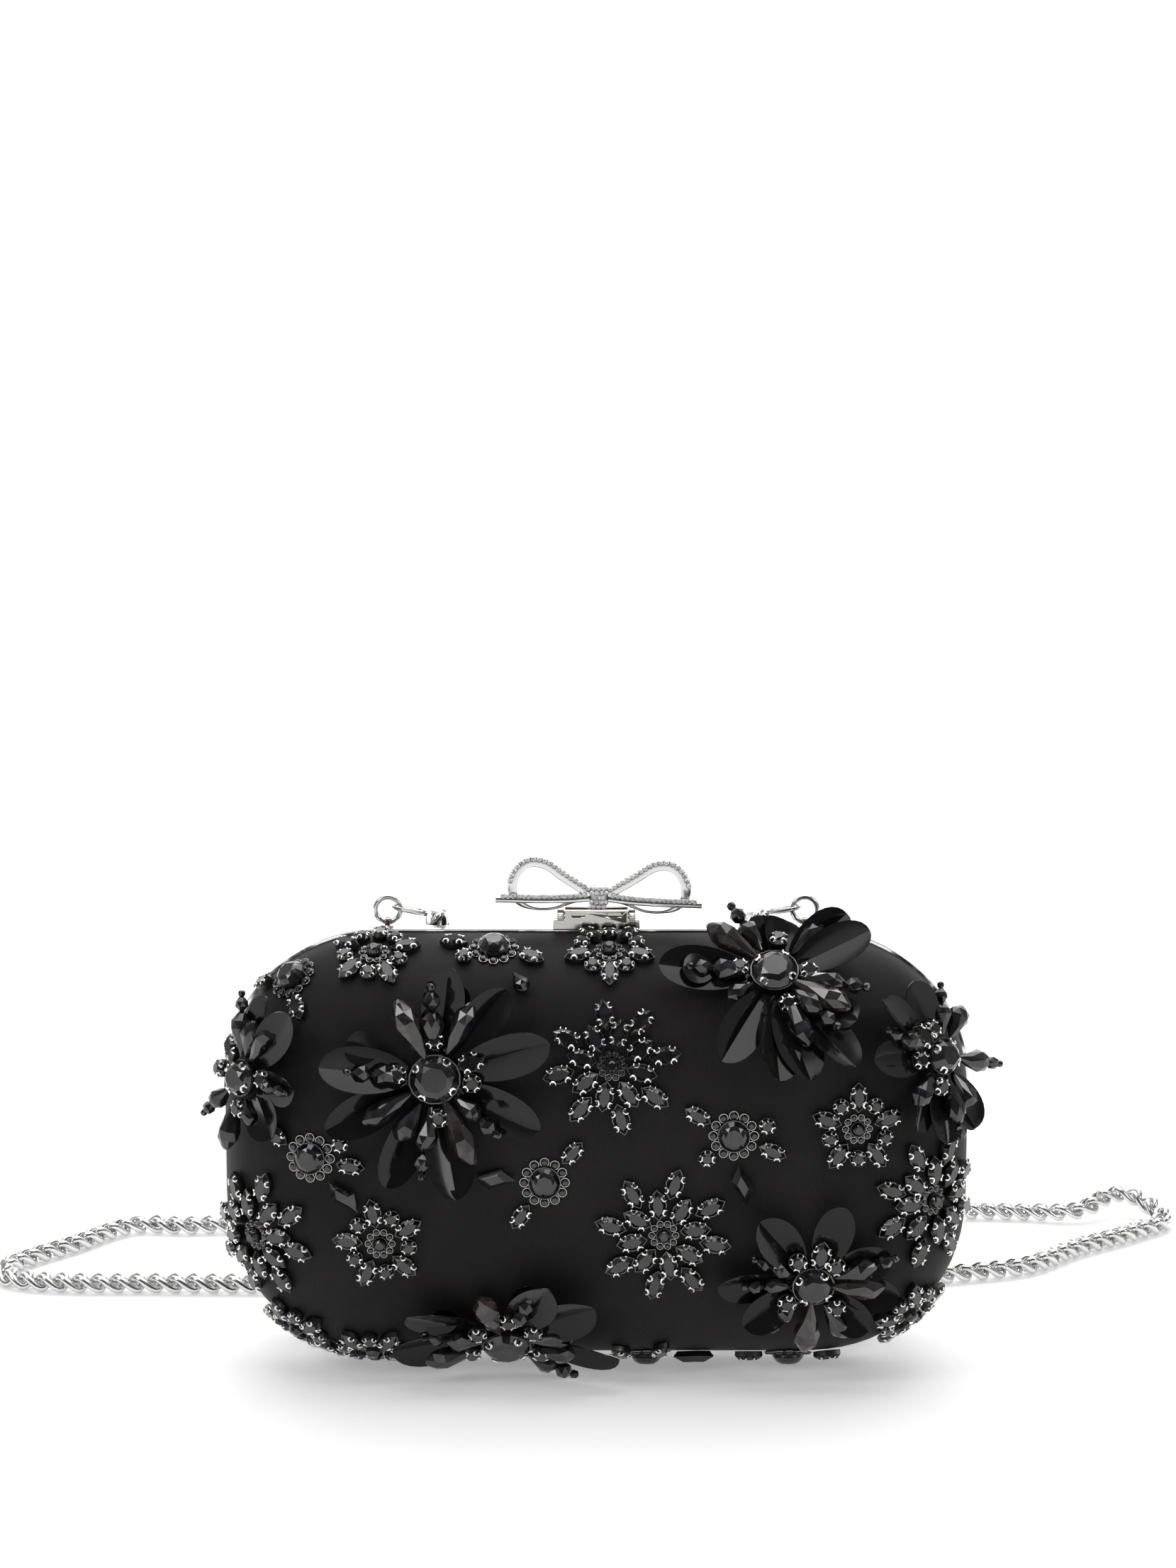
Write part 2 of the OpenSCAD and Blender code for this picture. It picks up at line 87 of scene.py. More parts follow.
class Nodes:
    """Short ways to build one material's node tree."""

    def __init__(self, name: str) -> None:
        """Starts a material with a Principled shader.

        Args:
            name: the material's name.
        """
        self.material = bpy.data.materials.new(name)
        self.material.use_nodes = True
        self.tree = self.material.node_tree
        self.shader = self.tree.nodes["Principled BSDF"]

    def add(self, kind: str, **values: object) -> bpy.types.Node:
        """Adds a node and sets its inputs or properties by name.

        Args:
            kind: the node's type, without the ShaderNode prefix.
            values: input names, with spaces as underscores, or property names.

        Returns:
            The new node.
        """
        node = self.tree.nodes.new("ShaderNode" + kind)
        for key, value in values.items():
            if hasattr(node, key):
                setattr(node, key, value)
            else:
                node.inputs[key.replace("_", " ")].default_value = value
        return node

    def link(self, source: Socket, target: Socket) -> None:
        """Joins two sockets."""
        self.tree.links.new(source, target)

    def shade(self, **values: object) -> None:
        """Sets the Principled shader's own sockets."""
        for key, value in values.items():
            self.shader.inputs[key.replace("_", " ")].default_value = value

    def place(self, scale: Triple = (1, 1, 1)) -> Socket:
        """Gives Object coordinates times scale."""
        mapping = self.add("Mapping", Scale=scale)
        self.link(self.add("TexCoord").outputs["Object"], mapping.inputs["Vector"])
        return mapping.outputs["Vector"]

    def grain(self, size: float, detail: float = 3.0, stretch: Triple = (1, 1, 1)) -> Socket:
        """Gives noise whose features are about size metres across."""
        texture = self.add("TexNoise", Scale=1.0 / size, Detail=detail)
        self.link(self.place(stretch), texture.inputs["Vector"])
        return texture.outputs["Fac"]

    def ribs(self, way: str, width: float, waver: float, detail: float) -> Socket:
        """Gives soft bands across X or Z.

        Args:
            way: X or Z.
            width: metres from one band to the next.
            waver: how much they bend.
            detail: fineness of the bending.

        Returns:
            The bands, from 0 to 1.
        """
        wave = self.add("TexWave", wave_type="BANDS", bands_direction=way, Scale=BAND / width)
        wave.inputs["Distortion"].default_value, wave.inputs["Detail"].default_value = waver, detail
        self.link(self.place(), wave.inputs["Vector"])
        return wave.outputs["Fac"]

    def cells(self, size: float) -> dict[str, Socket]:
        """Gives three random values for each cell of about size metres."""
        cells = self.add("TexVoronoi", Scale=1.0 / size)
        self.link(self.place(), cells.inputs["Vector"])
        split = self.add("SeparateColor")
        self.link(cells.outputs["Color"], split.inputs["Color"])
        return {name: split.outputs[name] for name in ("Red", "Green", "Blue")}

    def tint(self, source: Socket, *stops: tuple[float, Colour]) -> None:
        """Colours the shader by a value."""
        self.link(self.ramp(source, list(stops)), self.shader.inputs["Base Color"])

    def polish(self, source: Socket, low: float, high: float) -> None:
        """Varies the shader's roughness from low to high."""
        self.link(self.spread(source, low, high), self.shader.inputs["Roughness"])

    def ramp(self, source: Socket, stops: list[tuple[float, Colour]]) -> Socket:
        """Maps a value to colours.

        Args:
            source: the value, from 0 to 1.
            stops: where each colour stands.

        Returns:
            The colour.
        """
        ramp = self.add("ValToRGB")
        elements = ramp.color_ramp.elements
        for element, (at, colour) in zip(elements, stops[:2]):
            element.position, element.color = at, colour
        for at, colour in stops[2:]:
            elements.new(at).color = colour
        self.link(source, ramp.inputs["Fac"])
        return ramp.outputs["Color"]

    def spread(self, source: Socket, low: float, high: float) -> Socket:
        """Maps 0 to 1 onto low to high."""
        node = self.add("MapRange")
        node.inputs["To Min"].default_value = low
        node.inputs["To Max"].default_value = high
        self.link(source, node.inputs["Value"])
        return node.outputs["Result"]

    def bump(self, height: Socket, depth: float, strength: float = 1.0) -> None:
        """Roughens the shader's normal by a height socket.

        Args:
            height: 0 to 1 height.
            depth: metres from lowest to highest.
            strength: how much of it shows.
        """
        node = self.add("Bump", Distance=depth, Strength=strength)
        self.link(height, node.inputs["Height"])
        self.link(node.outputs["Normal"], self.shader.inputs["Normal"])


def grey(value: float, warm: float = 0.0) -> Colour:
    """Gives a linear grey, a little warm or cool."""
    return (value * (1 + warm), value, value * (1 - warm), 1.0)


@dataclass(frozen=True)
class Satin:
    """Duchesse satin: fine warp floats with a soft sheen and faint brown-black clouding."""

    name: str = "black_satin"
    dark: float = 0.0085
    light: float = 0.0145
    thread: float = 0.24 * MM
    cloud: float = 26 * MM

    def material(self) -> Finish:
        """Builds the material."""
        n = Nodes(self.name)
        dark, light = ((v * 1.1, v * 0.96, v, 1) for v in (self.dark, self.light))
        n.tint(n.grain(self.cloud, 4.0), (0.3, dark), (0.7, light))
        warp = n.ribs("X", self.thread, 1.2, 1.0)
        weft = n.grain(self.thread * 1.6, 2.0, (1.0, 1.0, 4.0))
        weave = n.add("Math", operation="MULTIPLY")
        n.link(warp, weave.inputs[0])
        n.link(weft, weave.inputs[1])
        n.polish(weft, 0.5, 0.66)
        n.shade(Specular_IOR_Level=0.16)
        n.bump(weave.outputs[0], 0.05 * MM, 0.5)
        return n.material


@dataclass(frozen=True)
class Lining:
    """Matte corded lining cloth."""

    name: str = "lining_cloth"
    dark: float = 0.03
    light: float = 0.06
    rib: float = 0.7 * MM

    def material(self) -> Finish:
        """Builds the material."""
        n = Nodes(self.name)
        n.tint(n.grain(14 * MM), (0.3, grey(self.dark, 0.05)), (0.75, grey(self.light, 0.05)))
        n.shade(Roughness=0.85, Sheen_Weight=0.3)
        n.bump(n.ribs("Z", self.rib, 0.8, 2.0), 0.12 * MM, 0.7)
        return n.material


@dataclass(frozen=True)
class Plating:
    """Polished silver-tone plating with faint hand-polish waves and light wear."""

    name: str
    tone: Triple
    gloss: float = 0.1
    wear: float = 0.1
    wave: float = 4 * MM

    def material(self) -> Finish:
        """Builds the material."""
        n = Nodes(self.name)
        r, g, b = self.tone
        n.tint(n.grain(self.wave * 2, 3.0), (0.25, (r * 0.9, g * 0.9, b * 0.88, 1)), (0.7, (r, g, b, 1)))
        n.polish(n.grain(self.wave / 8, 5.0, (1.0, 3.0, 3.0)), self.gloss, self.gloss + self.wear)
        n.shade(Metallic=1.0)
        n.bump(n.grain(self.wave, 2.0), 0.04 * MM, 0.25)
        return n.material


@dataclass(frozen=True)
class Jet:
    """Cut jet-black glass or resin: near black, with some facets painted lighter as painted highlights."""

    name: str
    body: Triple = (0.0045, 0.0045, 0.005)
    gloss: float = 0.06
    facet: float = 1.8 * MM

    def material(self) -> Finish:
        """Builds the material."""
        n = Nodes(self.name)
        r, g, b = self.body
        # Painted highlight: some facet cells are coloured about three times lighter, standing in for facets
        # that catch the lamps.
        painted_glint = (r * 3.2, g * 3.2, b * 3.4, 1)
        n.tint(n.cells(self.facet)["Red"], (0.35, (r, g, b, 1)), (0.95, painted_glint))
        n.polish(n.grain(0.5 * MM, 4.0), self.gloss, self.gloss + 0.08)
        n.shade(Coat_Weight=0.25, Coat_Roughness=0.03, IOR=1.6, Specular_IOR_Level=0.5)
        n.bump(n.grain(3 * MM, 1.0), 0.03 * MM, 0.2)
        return n.material


@dataclass(frozen=True)
class Sequin:
    """Glossy black sequin film with faint moulding ripples."""

    name: str = "sequin_film"
    gloss: float = 0.07

    def material(self) -> Finish:
        """Builds the material."""
        n = Nodes(self.name)
        n.tint(n.grain(9 * MM, 2.0), (0.3, grey(0.004)), (0.8, grey(0.009, 0.04)))
        n.polish(n.grain(1.2 * MM, 3.0), self.gloss, self.gloss + 0.1)
        n.shade(Coat_Weight=0.08, Coat_Roughness=0.04, Specular_IOR_Level=0.26)
        n.bump(n.grain(6 * MM, 1.0), 0.1 * MM, 0.25)
        return n.material


@dataclass(frozen=True)
class Crystal:
    """Small clear foiled crystals: bright, cut and a little cool."""

    name: str = "clear_crystal"
    facet: float = 0.45 * MM

    def material(self) -> Finish:
        """Builds the material."""
        n = Nodes(self.name)
        tone = n.cells(self.facet)
        n.tint(tone["Green"], (0.1, (0.5, 0.5, 0.52, 1)), (0.6, (1.0, 1.0, 1.0, 1)))
        n.polish(tone["Blue"], 0.04, 0.2)
        n.shade(Metallic=0.4, Coat_Weight=1.0, Coat_Roughness=0.03, IOR=1.6)
        return n.material


@dataclass(frozen=True)
class Board:
    """Moulded shell board."""

    name: str = "shell_board"

    def material(self) -> Finish:
        """Builds the material."""
        n = Nodes(self.name)
        n.tint(n.grain(2 * MM, 5.0), (0.3, grey(0.05)), (0.8, grey(0.11)))
        n.shade(Roughness=0.75)
        n.bump(n.grain(0.6 * MM, 4.0), 0.08 * MM, 0.5)
        return n.material


@dataclass(frozen=True)
class Paper:
    """The pale sweep that the bag stands on."""

    name: str = "pale_sweep"
    glow: float = 0.3

    def material(self) -> Finish:
        """Builds the material."""
        n = Nodes(self.name)
        n.tint(n.grain(0.12), (0.2, grey(0.86)), (0.8, grey(0.9)))
        n.shade(Roughness=0.8, Emission_Color=(1, 1, 1, 1), Emission_Strength=self.glow)
        return n.material


class Finishes:
    """Every finish, built once."""

    def __init__(self) -> None:
        """Builds the materials."""
        self.satin = Satin().material()
        self.lining = Lining().material()
        self.rim = Plating("polished_rim", (0.86, 0.86, 0.87), 0.07, 0.08).material()
        self.clasp = Plating("clasp_plating", (0.52, 0.505, 0.475), 0.08, 0.1).material()
        self.bow = Plating("bow_plating", (0.74, 0.735, 0.72), 0.14, 0.12).material()
        self.chain = Plating("chain_plating", (0.74, 0.74, 0.74), 0.14, 0.12).material()
        self.claw = Plating("claw_wire", (0.9, 0.89, 0.87), 0.12, 0.1).material()
        self.cup = Plating("cup_rim", (0.5, 0.49, 0.47), 0.12, 0.1).material()
        self.setting = Plating("dark_setting", (0.16, 0.16, 0.17), 0.22, 0.15).material()
        self.steel = Plating("drawn_wire", (0.6, 0.6, 0.62), 0.25, 0.2).material()
        self.jet = Jet("jet_stone").material()
        self.smoky = Jet("smoky_plum_bead", (0.013, 0.0095, 0.0092)).material()
        self.sequin = Sequin().material()
        self.crystal = Crystal().material()
        self.board = Board().material()
        self.paper = Paper().material()


# ---------------------------------------------------------------- meshes


@dataclass
class Shape:
    """A small mesh: vertices and faces."""

    points: list[Vector] = field(default_factory=list)
    faces: list[tuple[int, ...]] = field(default_factory=list)

    def add(self, other: "Shape", place: Matrix | None = None) -> None:
        """Adds a copy of another shape at a place."""
        start = len(self.points)
        self.points += [place @ p if place else p.copy() for p in other.points]
        self.faces += [tuple(start + i for i in f) for f in other.faces]

    def mesh(self, name: str) -> bpy.types.Mesh:
        """Turns the shape into a Blender mesh with outward faces."""
        mesh = bpy.data.meshes.new(name)
        mesh.from_pydata([tuple(p) for p in self.points], [], self.faces)
        work = bmesh.new()
        work.from_mesh(mesh)
        bmesh.ops.remove_doubles(work, verts=work.verts, dist=1e-7)
        bmesh.ops.recalc_face_normals(work, faces=work.faces)
        work.to_mesh(mesh)
        work.free()
        return mesh


def stacked(rings: list[list[Vector]], open_bottom: bool = False) -> Shape:
    """Joins rings of points into a closed skin.

    Args:
        rings: rings from bottom to top, with as many points each; a ring of one point is a pole.
        open_bottom: leaves the first ring without a cap.

    Returns:
        The skin.
    """
    shape = Shape()
    starts = []
    for ring in rings:
        starts.append(len(shape.points))
        shape.points += ring
    for low, high, a, b in zip(rings, rings[1:], starts, starts[1:]):
        n = max(len(low), len(high))
        for i in range(n):
            j = (i + 1) % n
            quad = [a + i % len(low), a + j % len(low), b + j % len(high), b + i % len(high)]
            shape.faces.append(tuple(dict.fromkeys(quad)))
    if len(rings[0]) > 2 and not open_bottom:
        shape.faces.append(tuple(range(len(rings[0]) - 1, -1, -1)))
    if len(rings[-1]) > 2:
        shape.faces.append(tuple(starts[-1] + i for i in range(len(rings[-1]))))
    return shape


def looped(rings: list[list[Vector]]) -> Shape:
    """Joins rings of points into a tube that closes on itself."""
    count, sides = len(rings), len(rings[0])
    shape = Shape([p for ring in rings for p in ring])
    for i in range(count):
        for k in range(sides):
            j, m = (i + 1) % count, (k + 1) % sides
            shape.faces.append((i * sides + k, j * sides + k, j * sides + m, i * sides + m))
    return shape


def rounded_ring(radius: float, height: float, count: int, squeeze: float = 1.0) -> list[Vector]:
    """Gives a level ring of points, squeezed along Y."""
    angles = [TAU * i / count for i in range(count)]
    return [Vector((radius * math.cos(a), radius * squeeze * math.sin(a), height)) for a in angles]


def pointed_ring(length: float, width: float, height: float, steps: int = 4) -> list[Vector]:
    """Gives a level ring in the outline of a pointed oval along X."""
    bow = (length * length / width + width) / 4
    half = math.asin(length / 2 / bow)
    arc = [-half + 2 * half * i / steps for i in range(steps)]
    upper = [Vector((bow * math.sin(a), bow * math.cos(a) - bow + width / 2, height)) for a in arc]
    return [Vector((p.x, p.y, height)) for p in upper] + [Vector((-p.x, -p.y, height)) for p in upper]


def navette(length: float, width: float, height: float) -> Shape:
    """A pointed oval stone with a flat table and bevelled crown."""
    return stacked([
        pointed_ring(length * 0.9, width * 0.84, 0),
        pointed_ring(length, width, height * 0.45),
        pointed_ring(length, width, height * 0.62),
        pointed_ring(length * 0.7, width * 0.62, height),
    ])


def brilliant(diameter: float, height: float, squeeze: float = 1.0, count: int = 8) -> Shape:
    """A round or oval stone with a table, star facets and a girdle."""
    def ring(share: float, rise: float) -> list[Vector]:
        """Gives the ring at a share of the radius and height."""
        return rounded_ring(diameter / 2 * share, height * rise, count * 2, squeeze)
    outer, inner, table = ring(0.8, 0.8), ring(0.74, 0.86), ring(0.55, 1.0)
    crown = [p for i in range(0, count * 2, 2) for p in (outer[i], inner[i + 1])]
    top = [p for p in table[::2] for _ in range(2)]
    return stacked([ring(0.8, 0), ring(1.0, 0.4), ring(1.0, 0.5), crown, top])


def rhomb(length: float, width: float, height: float) -> Shape:
    """A lozenge bead with a raised rhombic table."""
    def ring(long: float, wide: float, z: float) -> list[Vector]:
        """Gives the lozenge at shares of the length and width."""
        tip, side = Vector((length * long / 2, 0, 0)), Vector((length * long * 0.12, width * wide / 2, 0))
        return [p + Vector((0, 0, z)) for p in (tip, side, -tip, -side)]
    return stacked([ring(0.8, 0.7, 0), ring(1, 1, height * 0.5), ring(0.5, 0.5, height)])


def lathe(profile: list[Pair], sides: int = 8) -> Shape:
    """Turns a profile of (x, radius) round the X axis into a bead with staggered facets.

    Args:
        profile: stations along X and their radii.
        sides: facets round the bead.

    Returns:
        The bead.
    """
    shape = Shape()
    along, across, up = Vector((1, 0, 0)), Vector((0, 1, 0)), Vector((0, 0, 1))
    for k, (x, r) in enumerate(profile):
        shift = 0.5 * (k % 2)
        shape.points += [along * x + rounded(TAU * (i + shift) / sides, across, up) * r for i in range(sides)]
    for k in range(len(profile) - 1):
        a, b = k * sides, (k + 1) * sides
        for i in range(sides):
            j = (i + 1) % sides
            if k % 2 == 0:
                shape.faces += [(a + i, a + j, b + i), (a + j, b + j, b + i)]
            else:
                shape.faces += [(a + i, b + j, b + i), (a + i, a + j, b + j)]
    last = (len(profile) - 1) * sides
    shape.faces += [tuple(range(sides - 1, -1, -1)), tuple(last + i for i in range(sides))]
    return shape


def drop_bead(length: float, width: float) -> Shape:
    """A cut drop, pointed inwards at x = 0 and full near its outer end."""
    r = width / 2
    shares = ((0, 0.16), (0.3, 0.62), (0.62, 1), (0.8, 0.9), (0.95, 0.42), (1, 0.2))
    return lathe([(length * x, r * y) for x, y in shares])


def bicone(length: float, width: float) -> Shape:
    """A small double cone bead with cut facets."""
    r = width / 2
    return lathe([(length * x, r * y) for x, y in ((0, 0.35), (0.32, 0.9), (0.68, 0.9), (1, 0.35))], 6)


def wire_arc(radius: float, wire: float, sweep: float, steps: int, sides: int) -> Shape:
    """A bent wire in the XY plane, open towards -X, with thinned ends.

    Args:
        radius: of its middle line.
        wire: half its thickness.
        sweep: the angle that it covers.
        steps: sections along it.
        sides: facets round it.

    Returns:
        The wire.
    """
    rings = []
    up = Vector((0, 0, 1))
    for i in range(steps + 1):
        a = -sweep / 2 + sweep * i / steps
        out = Vector((math.cos(a), math.sin(a), 0))
        thick = wire * (0.55 if i in (0, steps) else 1.0)
        rings.append([out * radius + rounded(TAU * k / sides, out, up) * thick for k in range(sides)])
    return stacked(rings)


def torus(radius: float, wire: float, steps: int, sides: int) -> Shape:
    """A closed ring of wire in the XY plane."""
    rings = []
    up = Vector((0, 0, 1))
    for i in range(steps):
        out = rounded(TAU * i / steps, Vector((1, 0, 0)), Vector((0, 1, 0)))
        rings.append([out * radius + rounded(TAU * k / sides, out, up) * wire for k in range(sides)])
    return looped(rings)


def folded_petal(length: float, width: float, fold: float, thick: float = 0.28 * MM) -> Shape:
    """A sequin petal from x = 0 outwards, folded along its middle and curling up at the tip.

    Args:
        length: from root to tip.
        width: across the widest place.
        fold: height of the edges over the fold at the widest place.
        thick: the film's thickness.

    Returns:
        The closed petal.
    """
    steps, across = 14, 6
    rows = []
    for i in range(steps + 1):
        t = (1 - math.cos(math.pi * i / steps)) / 2
        full = 4 * t * (1 - t) * (0.72 + 0.56 * t)
        half = width / 2 * max(0.04, full ** 0.5)
        lift = length * 0.1 * t * t
        row = []
        for k in range(across + 1):
            s = -1 + 2 * k / across
            row.append(Vector((length * t, half * s, lift + fold * abs(s) ** 0.85 * half / (width / 2))))
        rows.append(row)
    shape = Shape()
    n = across + 1
    for side in (0, 1):
        for row in rows:
            shape.points += [p + Vector((0, 0, thick * side)) for p in row]
    block = n * (steps + 1)
    for i in range(steps):
        for k in range(across):
            a = i * n + k
            quad = (a, a + 1, a + n + 1, a + n)
            shape.faces += [quad[::-1], tuple(block + v for v in quad)]
    rim = [k for k in range(n)] + [i * n + across for i in range(1, steps + 1)]
    rim += [steps * n + k for k in range(across - 1, -1, -1)] + [i * n for i in range(steps - 1, 0, -1)]
    for a, b in zip(rim, rim[1:] + rim[:1]):
        shape.faces.append((a, b, block + b, block + a))
    return shape


class Scatter:
    """A Geometry Nodes tree that sets one small piece on every point of a guide."""

    def __init__(self) -> None:
        """Builds the tree once, with named inputs."""
        tree = self.tree = bpy.data.node_groups.new("scatter_pieces", "GeometryNodeTree")
        face = tree.interface
        face.new_socket("Guide", in_out="INPUT", socket_type="NodeSocketGeometry")
        face.new_socket("Piece", in_out="INPUT", socket_type="NodeSocketObject")
        face.new_socket("Enlarge", in_out="INPUT", socket_type="NodeSocketFloat").default_value = 1.0
        face.new_socket("Finish", in_out="INPUT", socket_type="NodeSocketMaterial")
        face.new_socket("Result", in_out="OUTPUT", socket_type="NodeSocketGeometry")
        add, link = tree.nodes.new, tree.links.new
        start, end = add("NodeGroupInput"), add("NodeGroupOutput")
        info, setter = add("GeometryNodeObjectInfo"), add("GeometryNodeInstanceOnPoints")
        turn, size = add("GeometryNodeInputNamedAttribute"), add("GeometryNodeInputNamedAttribute")
        turn.data_type = size.data_type = "FLOAT_VECTOR"
        turn.inputs["Name"].default_value, size.inputs["Name"].default_value = "turn", "size"
        enlarge, real = add("ShaderNodeVectorMath"), add("GeometryNodeRealizeInstances")
        finish = add("GeometryNodeSetMaterial")
        enlarge.operation = "SCALE"
        link(start.outputs["Guide"], setter.inputs["Points"])
        link(start.outputs["Piece"], info.inputs["Object"])
        link(info.outputs["Geometry"], setter.inputs["Instance"])
        link(turn.outputs["Attribute"], setter.inputs["Rotation"])
        link(size.outputs["Attribute"], enlarge.inputs[0])
        link(start.outputs["Enlarge"], enlarge.inputs["Scale"])
        link(enlarge.outputs["Vector"], setter.inputs["Scale"])
        link(setter.outputs["Instances"], real.inputs["Geometry"])
        link(real.outputs["Geometry"], finish.inputs["Geometry"])
        link(start.outputs["Finish"], finish.inputs["Material"])
        link(finish.outputs["Geometry"], end.inputs["Result"])
        self.socket = {i.name: i.identifier for i in face.items_tree if i.in_out == "INPUT"}

    def run(self, shape: Shape, places: list[Matrix], finish: Finish) -> bpy.types.Mesh:
        """Sets a shape at every place.

        Args:
            shape: the small piece, at its real size round the origin.
            places: where each copy goes.
            finish: its material.

        Returns:
            One plain mesh of all the copies.
        """
        guide_mesh = bpy.data.meshes.new("guide")
        guide_mesh.from_pydata([tuple(m.translation) for m in places], [], [])
        turn = guide_mesh.attributes.new("turn", "FLOAT_VECTOR", "POINT")
        size = guide_mesh.attributes.new("size", "FLOAT_VECTOR", "POINT")
        for i, m in enumerate(places):
            turn.data[i].vector = m.to_euler()
            size.data[i].vector = m.to_scale()
        guide = bpy.data.objects.new("guide", guide_mesh)
        piece = bpy.data.objects.new("scattered_piece", shape.mesh("scattered_piece"))
        for o in (guide, piece):
            bpy.context.scene.collection.objects.link(o)
        modifier = guide.modifiers.new("scatter", "NODES")
        modifier.node_group = self.tree
        modifier[self.socket["Piece"]] = piece
        modifier[self.socket["Enlarge"]] = 1.0
        modifier[self.socket["Finish"]] = finish
        evaluated = guide.evaluated_get(bpy.context.evaluated_depsgraph_get())
        result = bpy.data.meshes.new_from_object(evaluated)
        guide.modifiers.remove(modifier)
        for o in (guide, piece):
            bpy.data.objects.remove(o)
        return result


class Workshop:
    """Makes finished pieces out of meshes and reports them."""

    def __init__(self, finishes: Finishes) -> None:
        """Keeps the finishes and the scatter tree."""
        self.finishes = finishes
        self.scatter = Scatter()

    def piece(self, name: str, meshes: list[bpy.types.Mesh], body: str, slot: str,
              smooth: float | None = None) -> bpy.types.Object:
        """Joins meshes into one piece that rides on a body.

        Args:
            name: the piece's name.
            meshes: its meshes, each with its own material.
            body: the body it moves with.
            slot: not used.
            smooth: angle in degrees under which edges are shaded smooth, or None for flat facets.

        Returns:
            The finished object, at the origin.
        """
        materials: list[Finish] = []
        work = bmesh.new()
        for mesh in meshes:
            start = len(work.faces)
            work.from_mesh(mesh)
            work.faces.ensure_lookup_table()
            own = [m for m in mesh.materials]
            for m in own:
                if m not in materials:
                    materials.append(m)
            for f in work.faces[start:]:
                f.material_index = materials.index(own[f.material_index])
            bpy.data.meshes.remove(mesh)
        mesh = bpy.data.meshes.new(name)
        for m in materials:
            mesh.materials.append(m)
        work.to_mesh(mesh)
        work.free()
        for polygon in mesh.polygons:
            polygon.use_smooth = smooth is not None
        if smooth is not None and smooth < 180:
            mesh.set_sharp_from_angle(angle=math.radians(smooth))
        obj = bpy.data.objects.new(name, mesh)
        bpy.context.scene.collection.objects.link(obj)
        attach(obj, body)
        LOG.info("%s: %d faces on %s", name, len(mesh.polygons), body)
        return obj

    def dressed(self, shape: Shape, finish: Finish, name: str = "part") -> bpy.types.Mesh:
        """Gives a shape's mesh with one material."""
        mesh = shape.mesh(name)
        mesh.materials.append(finish)
        return mesh

    def refined(self, node: str, body: str, slot: str, finish: Finish, edge: float) -> None:
        """Replaces a metal CAD node by a copy with softened edges.

        Args:
            node: the CAD node.
            body: the body it is on.
            slot: its material slot.
            finish: its material.
            edge: radius of the softened edges.
        """
        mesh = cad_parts[node].data.copy()
        mesh.materials.clear()
        work = bmesh.new()
        work.from_mesh(mesh)
        bmesh.ops.remove_doubles(work, verts=work.verts, dist=1e-6)
        bmesh.ops.dissolve_limit(work, angle_limit=math.radians(1.0), verts=work.verts, edges=work.edges)
        sharp = [e for e in work.edges if len(e.link_faces) == 2 and e.calc_face_angle(0) > math.radians(35)]
        bmesh.ops.bevel(work, geom=sharp, offset=edge, segments=2, affect="EDGES", clamp_overlap=True)
        work.to_mesh(mesh)
        work.free()
        mesh.materials.append(finish)
        obj = self.piece(node + "_polished", [mesh], body, slot, 32)
        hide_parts(node)


# ---------------------------------------------------------------- the pillow body


